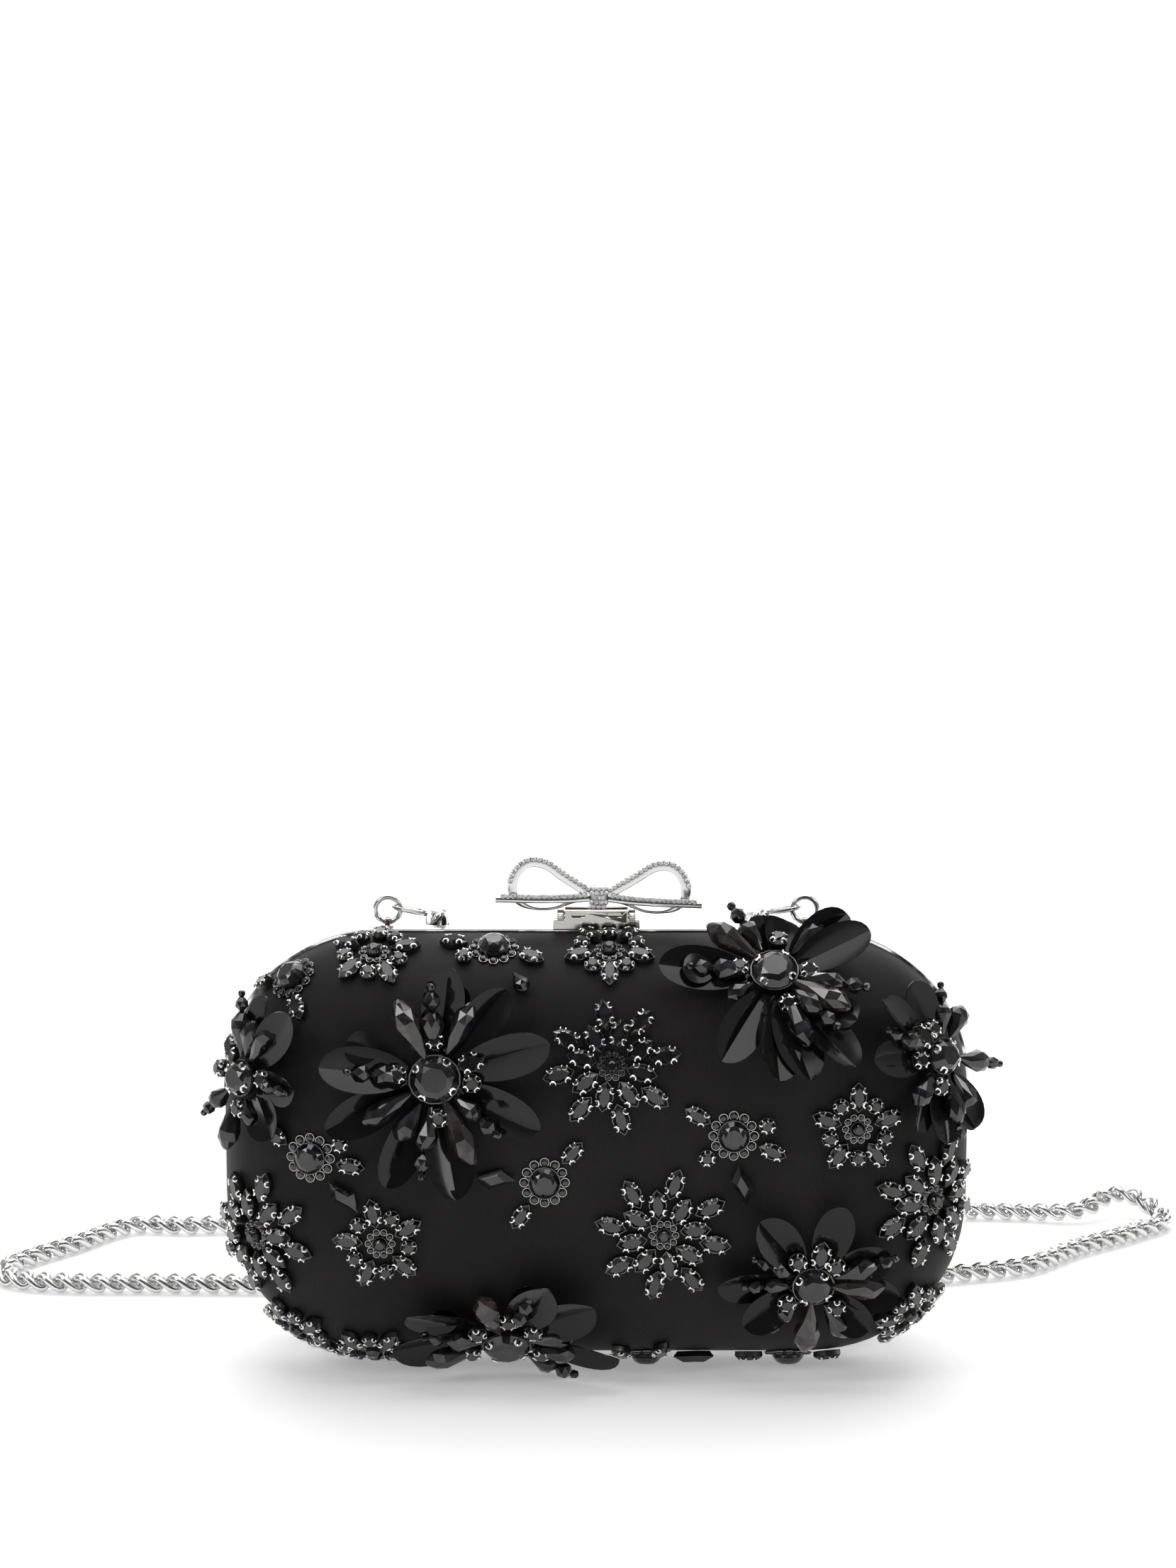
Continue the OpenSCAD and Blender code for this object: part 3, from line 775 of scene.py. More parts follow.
@dataclass(frozen=True)
class Pillow:
    """The covered surface of the two halves, as in the CAD frame."""

    core_x: float
    core_z: float
    mid_z: float
    corner: float
    depth: float
    fullness: float = 2.4

    @classmethod
    def from_frame(cls) -> "Pillow":
        """Reads the body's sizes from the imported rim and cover."""
        rim_low, rim_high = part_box("front_frame")
        cover_low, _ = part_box("front_cover")
        corner, proud = 37.0 * MM, 0.4 * MM
        return cls(
            core_x=rim_high[0] - proud - corner,
            core_z=(rim_high[2] - rim_low[2]) / 2 - proud - corner,
            mid_z=(rim_high[2] + rim_low[2]) / 2,
            corner=corner,
            depth=-cover_low[1],
        )

    def seat(self, p: Vector, lift: float = 0.0) -> tuple[Vector, Vector]:
        """Projects a point onto the surface.

        Args:
            p: a point near the surface.
            lift: height over it.

        Returns:
            The point, lifted, and the outward normal.
        """
        x = max(-self.core_x, min(self.core_x, p.x))
        core = Vector((x, 0, self.mid_z + max(-self.core_z, min(self.core_z, p.z - self.mid_z))))
        d = p - core
        u, w, n = max(math.hypot(d.x, d.z), 1e-6), abs(d.y), self.fullness
        k = ((u / self.corner) ** n + (w / self.depth) ** n) ** (-1 / n)
        s = core + d * k
        u, w = u * k, w * k
        out = (u / self.corner) ** (n - 1) / self.corner
        side = math.copysign((w / self.depth) ** (n - 1) / self.depth, d.y)
        normal = Vector((d.x * k / u * out, side, d.z * k / u * out)).normalized()
        return s + normal * lift, normal

    def level(self, normal: Vector) -> tuple[Vector, Vector]:
        """Gives the level tangent and the rising tangent for a normal."""
        level = Vector((0, 0, 1)).cross(normal).normalized()
        return level, normal.cross(level)

    def stand(self, p: Vector, lift: float = 0.0, spin: float = 0.0) -> Matrix:
        """Gives the place of something that stands on the surface at p, its +X at spin degrees."""
        at, normal = self.seat(p, lift)
        return Matrix.Translation(at) @ framed(*self.level(normal), normal) @ turned(spin, "Z")

    def around(self, centre: Vector, r: float, angle: float, lift: float = 0.0, turn: float = 0.0) -> Matrix:
        """Gives a place r away from centre along the surface, facing outwards.

        Args:
            centre: the motif's middle.
            r: distance from it.
            angle: direction in degrees, 0 along the level tangent.
            lift: height over the surface.
            turn: extra turn in degrees from the outward direction.

        Returns:
            The place.
        """
        at, normal = self.seat(centre)
        way = rounded(math.radians(angle), *self.level(normal))
        there, up = self.seat(at + way * r, lift)
        x = (way - up * way.dot(up)).normalized()
        return Matrix.Translation(there) @ framed(x, up.cross(x), up) @ turned(turn, "Z")

    def outline(self, u: float, corner_steps: int, long_steps: int, short_steps: int) -> list[Pair]:
        """Gives the rounded outline at one distance from the core.

        Args:
            u: the distance.
            corner_steps: steps round each corner.
            long_steps: steps along the top and bottom.
            short_steps: steps along each side.

        Returns:
            The points in x and z, as one closed ring.
        """
        ring = []
        for k in range(4):
            sx, sz = ((1, 1), (-1, 1), (-1, -1), (1, -1))[k]
            cx, cz = sx * self.core_x, self.mid_z + sz * self.core_z
            for i in range(corner_steps + 1):
                a = math.pi / 2 * (k + i / corner_steps)
                ring.append((cx + u * math.cos(a), cz + u * math.sin(a)))
            nx, nz = ((-1, 1), (-1, -1), (1, -1), (1, 1))[k]
            a = math.pi / 2 * (k + 1)
            ex, ez = nx * self.core_x + u * math.cos(a), self.mid_z + nz * self.core_z + u * math.sin(a)
            lx, lz = ring[-1]
            steps = (long_steps, short_steps)[k % 2]
            ring += [(lx + (ex - lx) * j / steps, lz + (ez - lz) * j / steps) for j in range(1, steps)]
        return ring


@dataclass(frozen=True)
class Cloth:
    """One stretched cloth: names, depth in the half, thickness, unevenness and flat size."""

    ending: str
    node: str
    inset: float
    thick: float
    ripple: float
    finish: Finish
    slot: str
    seed: int
    flat: Pair


@dataclass
class HalfShell:
    """One half of the bag: its cover, lining and rim."""

    pillow: Pillow
    shop: Workshop
    body: str
    facing: int
    mouth: float = 3.18 * MM
    rings: int = 20

    def skin(self, inset: float, ripple: float, seed: int) -> Shape:
        """Builds one open skin of the half, from its mouth to its middle.

        Args:
            inset: distance inside the cover's outer surface.
            ripple: height of the cloth's slight unevenness.
            seed: start of the unevenness.

        Returns:
            The skin, facing outwards.
        """
        p, n = self.pillow, self.pillow.fullness
        reach, depth = p.corner - inset, p.depth - inset
        start = math.asin((self.mouth / depth) ** (n / 2))
        rings: list[list[Vector]] = []
        tiny = 0.02 * reach
        for i in range(self.rings + 1):
            a = start + (math.pi / 2 - start) * i / self.rings
            u = max(reach * math.cos(a) ** (2 / n), tiny)
            w = depth * (1 - (u / reach) ** n) ** (1 / n)
            rings.append([Vector((x, self.facing * w, z)) for x, z in p.outline(u, 8, 22, 6)])
        inner = rings[-1]
        for i in range(1, 6):
            f = 1 - i / 6
            rings.append([Vector((v.x * f, v.y, p.mid_z + (v.z - p.mid_z) * f)) for v in inner])
        rings.append([Vector((0, inner[0].y, p.mid_z))])
        shape = stacked(rings, open_bottom=True)
        rng = random.Random(seed)
        shift = Vector((rng.uniform(-9, 9), rng.uniform(-9, 9), rng.uniform(-9, 9)))
        for v in shape.points:
            fade = min(1.0, abs(v.y) / (8 * MM)) ** 2
            v.y -= self.facing * ripple * fade * (0.5 + 0.5 * noise.noise(v / (17 * MM) + shift))
        return shape

    def cloth(self, part: Cloth) -> None:
        """Args:
            part: which cloth, with its place and sizes.
        """
        side = "front" if self.facing < 0 else "back"
        name = side + part.ending
        mesh = self.shop.dressed(self.skin(part.inset, part.ripple, part.seed), part.finish, name)
        work = bmesh.new()
        work.from_mesh(mesh)
        outward = sum(f.normal.y * self.facing * f.calc_area() for f in work.faces)
        if outward < 0:
            bmesh.ops.reverse_faces(work, faces=work.faces)
        work.to_mesh(mesh)
        work.free()
        obj = self.shop.piece(name, [mesh], self.body, part.slot, 180)
        wall = obj.modifiers.new("thickness", "SOLIDIFY")
        wall.thickness, wall.offset = part.thick, -1
        fine = obj.modifiers.new("smooth", "SUBSURF")
        fine.levels = fine.render_levels = 1
        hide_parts(side + part.node)

    def build(self) -> None:
        """Builds the half's cloth and rim."""
        f = self.shop.finishes
        side = "front" if self.facing < 0 else "back"
        self.cloth(Cloth("_satin", "_cover", inset=0.02 * MM, thick=0.55 * MM, ripple=0.22 * MM,
                         finish=f.satin, slot="black_satin", seed=3, flat=(0.200, 0.125)))
        self.cloth(Cloth("_lining_cloth", "_lining", inset=2.42 * MM, thick=0.9 * MM, ripple=0.12 * MM,
                         finish=f.lining, slot="lining_cloth", seed=5, flat=(0.188, 0.113)))
        self.shop.refined(side + "_frame", self.body, "polished_metal", f.rim, 0.45 * MM)
        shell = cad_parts[side + "_shell"].data.materials
        shell.clear()
        shell.append(f.board)


# ---------------------------------------------------------------- sewn motifs


class Stone(Enum):
    """Small claw-set stones round a flower or rosette."""

    ROUND = "round"
    OVAL = "oval"


class Run(Enum):
    """Beads threaded outwards from a flower's middle."""

    DROP = "drop"
    SMOKY = "smoky"
    STRING = "string"
    SHORT = "short"


@dataclass
class Motif:
    """Base of every sewn motif: gathers its stones, wires, petals and beads."""

    node: str
    centre: Triple
    pillow: Pillow
    shop: Workshop
    body: str
    seat: float = 0.1 * MM
    floor: float = 0.0

    def __post_init__(self) -> None:
        """Starts with nothing gathered."""
        self.middle = Vector(self.centre) * MM
        self.jets: list[bpy.types.Mesh] = []
        self.metal: list[bpy.types.Mesh] = []
        self.sets: dict[tuple[str, float, float, float], list[Matrix]] = {}
        self.claws: list[Matrix] = []
        self.cups: list[Matrix] = []

    def navette(self, place: Matrix, length: float, width: float, height: float = 2.0) -> None:
        """Sets a pointed oval stone with its dark setting and four claws.

        Args:
            place: where it sits.
            length: along its place's X, in millimetres.
            width: across.
            height: of the stone over the cloth.
        """
        self.sets.setdefault(("navette", length, width, height), []).append(place)
        for sx in (-1, 1):
            for sy in (-1, 1):
                at = Vector((sx * length * 0.25, sy * width * 0.43, height * 0.84)) * MM
                inwards = math.degrees(math.atan2(-sy, -sx * 0.3))
                self.claws.append(place @ Matrix.Translation(at) @ turned(inwards, "Z") @ turned(-26, "Y"))

    def round(self, place: Matrix, diameter: float, height: float = 2.2, claws: int = 4,
              squeeze: float = 1.0, big: float = 1.0) -> None:
        """Sets a round stone with its claws.

        Args:
            place: where it sits.
            diameter: in millimetres.
            height: of the stone over the cloth.
            claws: how many hold it.
            squeeze: its width over its length.
            big: the claws' size.
        """
        self.sets.setdefault(("brilliant", diameter, squeeze, height), []).append(place)
        for i in range(claws):
            angle = 45 + 360 * i / claws
            at = rounded(math.radians(angle), Vector((1, 0, 0)), Vector((0, squeeze, 0))) * diameter * 0.46
            at.z = height * 0.74
            lean = turned(angle + 180, "Z") @ turned(-32, "Y") @ Matrix.Scale(big, 4)
            self.claws.append(place @ Matrix.Translation(at * MM) @ lean)

    def ring_of_cups(self, r: float, count: int, size: float, offset: float = 0.0) -> None:
        """Sets a ring of small rimmed cups round the middle.

        Args:
            r: the ring's radius in millimetres.
            count: how many cups.
            size: each cup's diameter.
            offset: turn of the ring in degrees.
        """
        for i in range(count):
            place = self.pillow.around(self.middle, r * MM, offset + 360 * i / count, self.seat + 0.25 * MM)
            self.cups.append(place @ Matrix.Scale(size / 2.0, 4))

    def finish(self) -> None:
        """Turns what was gathered into finished pieces."""
        f, scatter = self.shop.finishes, self.shop.scatter
        for (kind, a, b, h), places in self.sets.items():
            if kind == "navette":
                stone = navette(a * MM, b * MM, h * MM)
                base, lip = ((a * x * MM, b * y * MM) for x, y in ((1.04, 1.08), (1.06, 1.12)))
                cup = stacked([pointed_ring(*base, 0), pointed_ring(*lip, h * 0.55 * MM)])
            else:
                stone = brilliant(a * MM, h * MM, b)
                base, lip = (rounded_ring(a * r * MM, h * z * MM, 16, b) for r, z in ((0.5, 0), (0.53, 0.42)))
                cup = stacked([base, lip])
            self.jets.append(scatter.run(stone, places, f.jet))
            self.metal.append(scatter.run(cup, places, f.setting))
        if self.claws:
            claw = wire_arc(0.64 * MM, 0.25 * MM, math.radians(240), 9, 7)
            self.metal.append(scatter.run(claw, self.claws, f.claw))
        if self.cups:
            self.metal.append(scatter.run(torus(0.9 * MM, 0.11 * MM, 16, 6), self.cups, f.cup))
            self.jets.append(scatter.run(brilliant(1.6 * MM, 0.5 * MM, 1.0, 6), self.cups, f.jet))
        self.release("_stones", self.jets)
        self.release("_settings", self.metal, 50)

    def release(self, ending: str, meshes: list[bpy.types.Mesh], smooth: float | None = None) -> None:
        """Makes one finished piece of the motif, resting no lower than the floor.

        Args:
            ending: what its name adds to the node's.
            meshes: its meshes.
            smooth: angle under which edges are smooth, or None for flat facets.
        """
        piece = self.shop.piece(self.node + ending, meshes, self.body, "jet_stone", smooth)
        for v in piece.data.vertices:
            v.co.z = max(v.co.z, self.floor)
        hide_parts(self.node)


@dataclass
class LargeStar(Motif):
    """Eight short and eight long pointed stones round a ring of cups."""

    spin: float = 0.0

    def build(self) -> None:
        """Gathers and finishes the star."""
        p, m = self.pillow, self.middle
        rng = random.Random(self.node)
        self.round(p.stand(m, self.seat), 3.4, 2.2, 0)
        self.ring_of_cups(2.75, 10, 1.65)
        for r, offset, length in ((7.3, 0.0, 6.9), (12.3, 22.5, 7.2)):
            for i in range(8):
                angle = self.spin + offset + 45 * i + rng.uniform(-3, 3)
                place = p.around(m, (r + rng.uniform(-0.3, 0.3)) * MM, angle, self.seat, rng.uniform(-7, 7))
                self.navette(place, length, 3.8, 2.1)
        self.finish()


@dataclass
class SmallStar(Motif):
    """Five pointed and five round stones round a ring of cups."""

    spin: float = 0.0

    def build(self) -> None:
        """Gathers and finishes the star."""
        p, m = self.pillow, self.middle
        self.round(p.stand(m, self.seat), 3.4, 2.3, 0)
        self.ring_of_cups(2.75, 10, 1.65)
        for i in range(5):
            self.navette(p.around(m, 7.5 * MM, self.spin + 72 * i, self.seat), 6.7, 3.6, 2.1)
            self.round(p.around(m, 6.7 * MM, self.spin + 36 + 72 * i, self.seat), 3.6, 2.2, 4, 1.0, 0.8)
        self.finish()


@dataclass
class Rosette(Motif):
    """A round stone in a ring of rimmed cups, with loose stones beside it."""

    ovals: tuple[float, ...] = ()
    rounds: tuple[float, ...] = ()
    rhombs: tuple[float, ...] = ()
    beads: tuple[float, ...] = ()

    def build(self) -> None:
        """Gathers and finishes the rosette."""
        p, m, f = self.pillow, self.middle, self.shop.finishes
        self.round(p.stand(m, self.seat), 7.2, 3.0, 0)
        self.ring_of_cups(4.7, 12, 2.3)
        for a in self.ovals:
            self.navette(p.around(m, 9.6 * MM, a, self.seat), 6.4, 3.4, 2.1)
        for a in self.rounds:
            self.round(p.around(m, 8.0 * MM, a, self.seat), 3.6, 2.4)
        if self.rhombs:
            places = [p.around(m, 11.6 * MM, a, self.seat) for a in self.rhombs]
            self.jets.append(self.shop.scatter.run(rhomb(10 * MM, 4.8 * MM, 2.6 * MM), places, f.jet))
        if self.beads:
            places = [p.around(m, 10.4 * MM, a, 1.6 * MM) for a in self.beads]
            self.jets.append(self.shop.scatter.run(drop_bead(5.6 * MM, 4.2 * MM), places, f.jet))
        self.finish()


@dataclass
class BeadFlower(Motif):
    """A large claw-set stone with folded petals and strings of beads round it.

    Petals and discs are (angle, reach in mm); runs are (angle, kind, reach); smalls are (angle, kind).
    """

    size: float = 1.0
    petals: tuple[Pair, ...] = ()
    discs: tuple[Pair, ...] = ()
    runs: tuple[tuple[float, Run, float], ...] = ()
    smalls: tuple[tuple[float, Stone], ...] = ()
    root: float = 5.5
    disc: float = 7.8
    seed: int = 1

    def tilted(self, r: float, angle: float, lift: float, tilt: float, roll: float = 0.0) -> Matrix:
        """Gives a place that starts at r and rises outwards by tilt degrees."""
        place = self.pillow.around(self.middle, r * MM, angle, lift * MM)
        return place @ turned(-tilt, "Y") @ turned(roll, "X")

    def petal(self, length: float, width: float, fold: float, place: Matrix) -> bpy.types.Mesh:
        """Makes one folded petal at a place."""
        mesh = self.shop.dressed(folded_petal(length * MM, width * MM, fold * MM), self.shop.finishes.sequin)
        mesh.transform(place)
        return mesh

    def run(self, angle: float, kind: Run, reach: float, rng: random.Random) -> list[bpy.types.Mesh]:
        """Threads one run of beads outwards.

        Args:
            angle: its direction in degrees.
            kind: what is on it.
            reach: how far its outer end is from the middle, in millimetres.
            rng: source of the small unevenness.

        Returns:
            The beads.
        """
        f = self.shop.finishes
        start = (4.6 if kind is Run.SMOKY else 6.2) * self.size
        place = self.tilted(start, angle, 3.3, rng.uniform(3, 11), rng.uniform(0, 45))
        bicone_l = 4.3 * self.size if kind in (Run.STRING, Run.SHORT) else 0.0
        seed_l = 2.0 * self.size if kind is Run.STRING else 0.0
        length = reach - start - bicone_l - seed_l
        width = min(6.2 if kind is Run.SMOKY else 5.4, 0.62 * length)
        beads = [(drop_bead(length * MM, width * MM), f.smoky if kind is Run.SMOKY else f.jet, 0.0)]
        if bicone_l:
            beads.append((bicone(bicone_l * MM, 4.5 * self.size * MM), f.jet, length))
        if seed_l:
            r = seed_l * 0.55 * MM
            end = lathe([(0, r * 0.6), (r * 0.5, r), (r * 1.4, r), (r * 1.8, r * 0.6)])
            beads.append((end, f.jet, length + bicone_l))
        made = []
        for shape, finish, along in beads:
            mesh = self.shop.dressed(shape, finish)
            mesh.transform(place @ Matrix.Translation((along * MM, 0, 0)))
            made.append(mesh)
        return made

    def build(self) -> None:
        """Gathers and finishes the flower."""
        p, m, k = self.pillow, self.middle, self.size
        rng = random.Random(self.seed)
        self.round(p.stand(m, 1.6 * MM, 12), 11.4 * k, 4.2, 4, 0.95, 1.25)
        film: list[bpy.types.Mesh] = []
        for i, (angle, reach) in enumerate(self.petals):
            roll = rng.choice((-1, 1)) * rng.uniform(4, 24)
            place = self.tilted(self.root * k, angle, 0.9 + 0.25 * (i % 3), rng.uniform(4, 13), roll)
            width = rng.uniform(9.6, 11) * (0.4 + 0.6 * k)
            film.append(self.petal(reach - self.root * k, width, rng.uniform(1.2, 2.4), place))
        for angle, reach in self.discs:
            size = self.disc * (0.5 + 0.5 * k)
            place = self.tilted(reach - size, angle, 3.1, 10, rng.uniform(-14, 14))
            film.append(self.petal(size, size, 0.5, place))
        beads: list[bpy.types.Mesh] = []
        for angle, kind, reach in self.runs:
            beads += self.run(angle, kind, reach, rng)
        for angle, stone in self.smalls:
            if stone is Stone.OVAL:
                self.navette(p.around(m, 9.2 * k * MM, angle, 2.8 * MM), 6.6, 4.2, 2.4)
            else:
                self.round(p.around(m, 8.6 * k * MM, angle, 2.8 * MM), 4.1, 2.8)
        self.finish()
        self.release("_petals", film, 40)
        self.release("_beads", beads)


def front_motifs(p: Pillow, shop: Workshop) -> list[Motif]:
    """Lists the motifs sewn on the front half, at the places of their CAD nodes.

    Args:
        p: the covered surface.
        shop: where they are made.

    Returns:
        The motifs, not built yet.
    """
    base = {"pillow": p, "shop": shop, "body": FRONT}
    drop, smoky, string, short = Run
    oval, small = Stone.OVAL, Stone.ROUND
    return [
        BeadFlower("bead_flower_a", (-37, -28.6, 75), **base, seed=2,
                   petals=((82, 26), (52, 26.5), (20, 28.5), (-23, 27), (-80, 28), (-116, 27),
                           (-157, 27.5), (175, 27)),
                   discs=((158, 22), (77, 22.5)),
                   runs=((92, string, 22), (116, smoky, 20), (63, drop, 19.6), (175, string, 21),
                         (-150, drop, 19), (-121, drop, 16),
                         (-98, string, 23), (-65, smoky, 21.3), (-40, string, 20)),
                   smalls=((90, small), (172, small), (25, oval), (-5, small), (-84, small))),
        BeadFlower("bead_flower_b", (41, -20, 96), **base, size=0.94, seed=3,
                   petals=((178, 27), (-120, 28), (-92, 28), (-76, 28), (-56, 30), (22, 24.5), (40, 23),
                           (78, 15.5), (98, 15.5)),
                   discs=((181, 21.5), (-33, 22)),
                   runs=((180, string, 20.5), (143, smoky, 19), (118, string, 20.7), (44, drop, 16.5),
                         (-16, string, 22.6), (-31, smoky, 19.8),
                         (-47, string, 21), (-69, drop, 20), (-148, drop, 13)),
                   smalls=((80, small), (178, small), (-5, small), (-70, small))),
        BeadFlower("bead_flower_c", (-21, -21.5, 12), **base, size=0.96, seed=4,
                   petals=((145, 28), (66, 26.5), (38, 27), (4, 27.4), (176, 27)),
                   discs=((72, 20), (150, 21)),
                   runs=((109, smoky, 18), (72, string, 19), (165, string, 20.8), (19, drop, 17),
                         (188, drop, 20), (-6, drop, 16.5), (-34, string, 20)),
                   smalls=((144, small), (86, small), (40, small), (190, small), (-12, small))),
        BeadFlower("bead_flower_d", (50, -28, 27), **base, size=0.82, seed=5,
                   petals=((129, 22), (69, 22), (26, 19.6), (-7, 20), (-150, 19), (-40, 17), (176, 22.5)),
                   runs=((152, string, 16.5), (176, string, 17), (24, string, 21), (1, smoky, 16.3),
                         (-58, drop, 15), (-96, smoky, 16.7), (-134, short, 15)),
                   smalls=((78, oval), (122, small), (45, small), (-150, small), (-42, small))),
        BeadFlower("bead_flower_e", (-79.5, -20, 73), **base, size=0.76, seed=6,
                   petals=((72, 20.5), (50, 23), (1, 18), (-49, 16.8)),
                   runs=((94, string, 20), (76, drop, 14), (57, short, 19), (-4, string, 15.6),
                         (218, string, 17), (-100, drop, 17), (-66, drop, 11)),
                   smalls=((120, oval), (8, small), (-85, small), (170, small))),
        BeadFlower("bead_flower_f", (78, -21, 78), **base, size=0.76, seed=7,
                   petals=((139, 21.7), (105, 18.6), (176, 20.8), (-128, 19.4), (-97, 20), (-68, 19)),
                   runs=((78, string, 17), (50, drop, 13.5), (-13, string, 19.5), (-61, drop, 15),
                         (-85, short, 19), (-135, drop, 13.8), (152, string, 17.6)),
                   smalls=((134, oval), (110, small), (178, small), (-109, small))),
        LargeStar("star_large_g", (3.5, -28, 77.5), **base, spin=-12),
        LargeStar("star_large_h", (15.5, -29, 38), **base, spin=11),
        LargeStar("star_large_k", (-79, -21, 36), **base, spin=8),
        LargeStar("star_large_l", (78, -22.5, 44.5), **base, spin=4),
        SmallStar("star_small_i", (60, -29, 63), **base, spin=18),
        SmallStar("star_small_j", (-50, -29, 36), **base, spin=30),
        SmallStar("star_small_m", (-53, -16, 7), **base, spin=54),
        SmallStar("star_small_n", (-52, -14.5, 101), **base, spin=10),
        SmallStar("star_small_o", (3, -14, 101.5), **base, spin=54),
        SmallStar("star_small_p", (74, -17, 15.5), **base, spin=40),
        SmallStar("star_small_q", (-71, -15, 11.5), **base, spin=20),
        Rosette("rosette_r", (-66, -27.8, 56), **base, ovals=(150, -9), rounds=(27,), rhombs=(-48,)),
        Rosette("rosette_s", (-12, -29, 50.5), **base, ovals=(48, -125), rhombs=(175,)),
        Rosette("rosette_t", (31.5, -29, 61.5), **base, ovals=(150, -22), rounds=(-140, 18), rhombs=(-80,)),
        Rosette("rosette_u", (-24, -13, 102), **base, ovals=(-25, 172), rounds=(210,), beads=(-62,)),
        Rosette("rosette_v", (-71, -14.5, 95.5), **base, ovals=(195, -45)),
        Rosette("rosette_w", (12, -9.5, 3), **base, ovals=(70, 130), rhombs=(15,)),
        Rosette("rosette_x", (46, -9.5, 3), **base, ovals=(172, 20)),
    ]


def back_motifs(p: Pillow, shop: Workshop) -> list[Motif]:
    """Lists the motifs sewn on the back half, at the places of their CAD nodes.

    Args:
        p: the covered surface.
        shop: where they are made.

    Returns:
        The motifs, not built yet.
    """
    base = {"pillow": p, "shop": shop, "body": BACK}
    string, short, smoky = Run.STRING, Run.SHORT, Run.SMOKY
    oval, small = Stone.OVAL, Stone.ROUND
    return [
        BeadFlower("back_flower", (-3, 28.8, 63.5), **base, seed=9,
                   petals=((82, 27), (52, 27), (20, 28), (-23, 27), (-80, 28), (-116, 27), (-157, 28),
                           (172, 27)),
                   discs=((158, 22), (77, 22)),
                   runs=((92, string, 22), (116, smoky, 20), (63, short, 20), (175, string, 21),
                         (-150, short, 19), (-98, string, 22),
                         (-65, smoky, 21), (-40, string, 20)),
                   smalls=((90, small), (172, small), (25, oval), (-5, small), (-84, small))),
        LargeStar("back_star_left", (-65, 27.5, 69.5), **base),
        LargeStar("back_star_right", (65, 27.5, 59.5), **base, spin=10),
        Rosette("back_rosette", (12, 26.5, 20), **base, ovals=(160, 20), rounds=(-20,), rhombs=(200,)),
        Rosette("back_foot_left", (-46, 9.5, 3), **base, ovals=(172, 20)),
        Rosette("back_foot_right", (46, 9.5, 3), **base, ovals=(160, 10)),
    ]


# ---------------------------------------------------------------- clasp, bow and rings


def smooth_path(points: list[Vector], step: float, pull: float = math.inf) -> list[Vector]:
    """Runs a smooth curve through control points.

    Args:
        points: the control points.
        step: wanted distance between the points given back.
        pull: longest stretch that shapes the tangents.

    Returns:
        Points along the curve, from the first control point to the last.
    """
    line = []
    for i, (b, c) in enumerate(zip(points, points[1:])):
        a, d = points[max(i - 1, 0)], points[min(i + 2, len(points) - 1)]
        reach = min((c - b).length, pull)
        u = (c - a) * (reach / max((c - a).length, MM))
        v = (d - b) * (reach / max((d - b).length, MM))
        count = max(1, round((c - b).length / step))
        for j in range(count):
            f = j / count
            f2, f3 = f * f, f * f * f
            ends = b * (2 * f3 - 3 * f2 + 1) + u * (f3 - 2 * f2 + f)
            line.append(ends + c * (3 * f2 - 2 * f3) + v * (f3 - f2))
    return line + [points[-1]]


def evenly(line: list[Vector], pitch: float) -> list[Vector]:
    """Walks along a line.

    Args:
        line: the points that it runs through.
        pitch: the distance from one stop to the next.

    Returns:
        The stops.
    """
    found, due, run = [], 0.0, 0.0
    for a, b in zip(line, line[1:]):
        length = (b - a).length
        while due <= run + length:
            found.append(a.lerp(b, (due - run) / length))
            due += pitch
        run += length
    return found


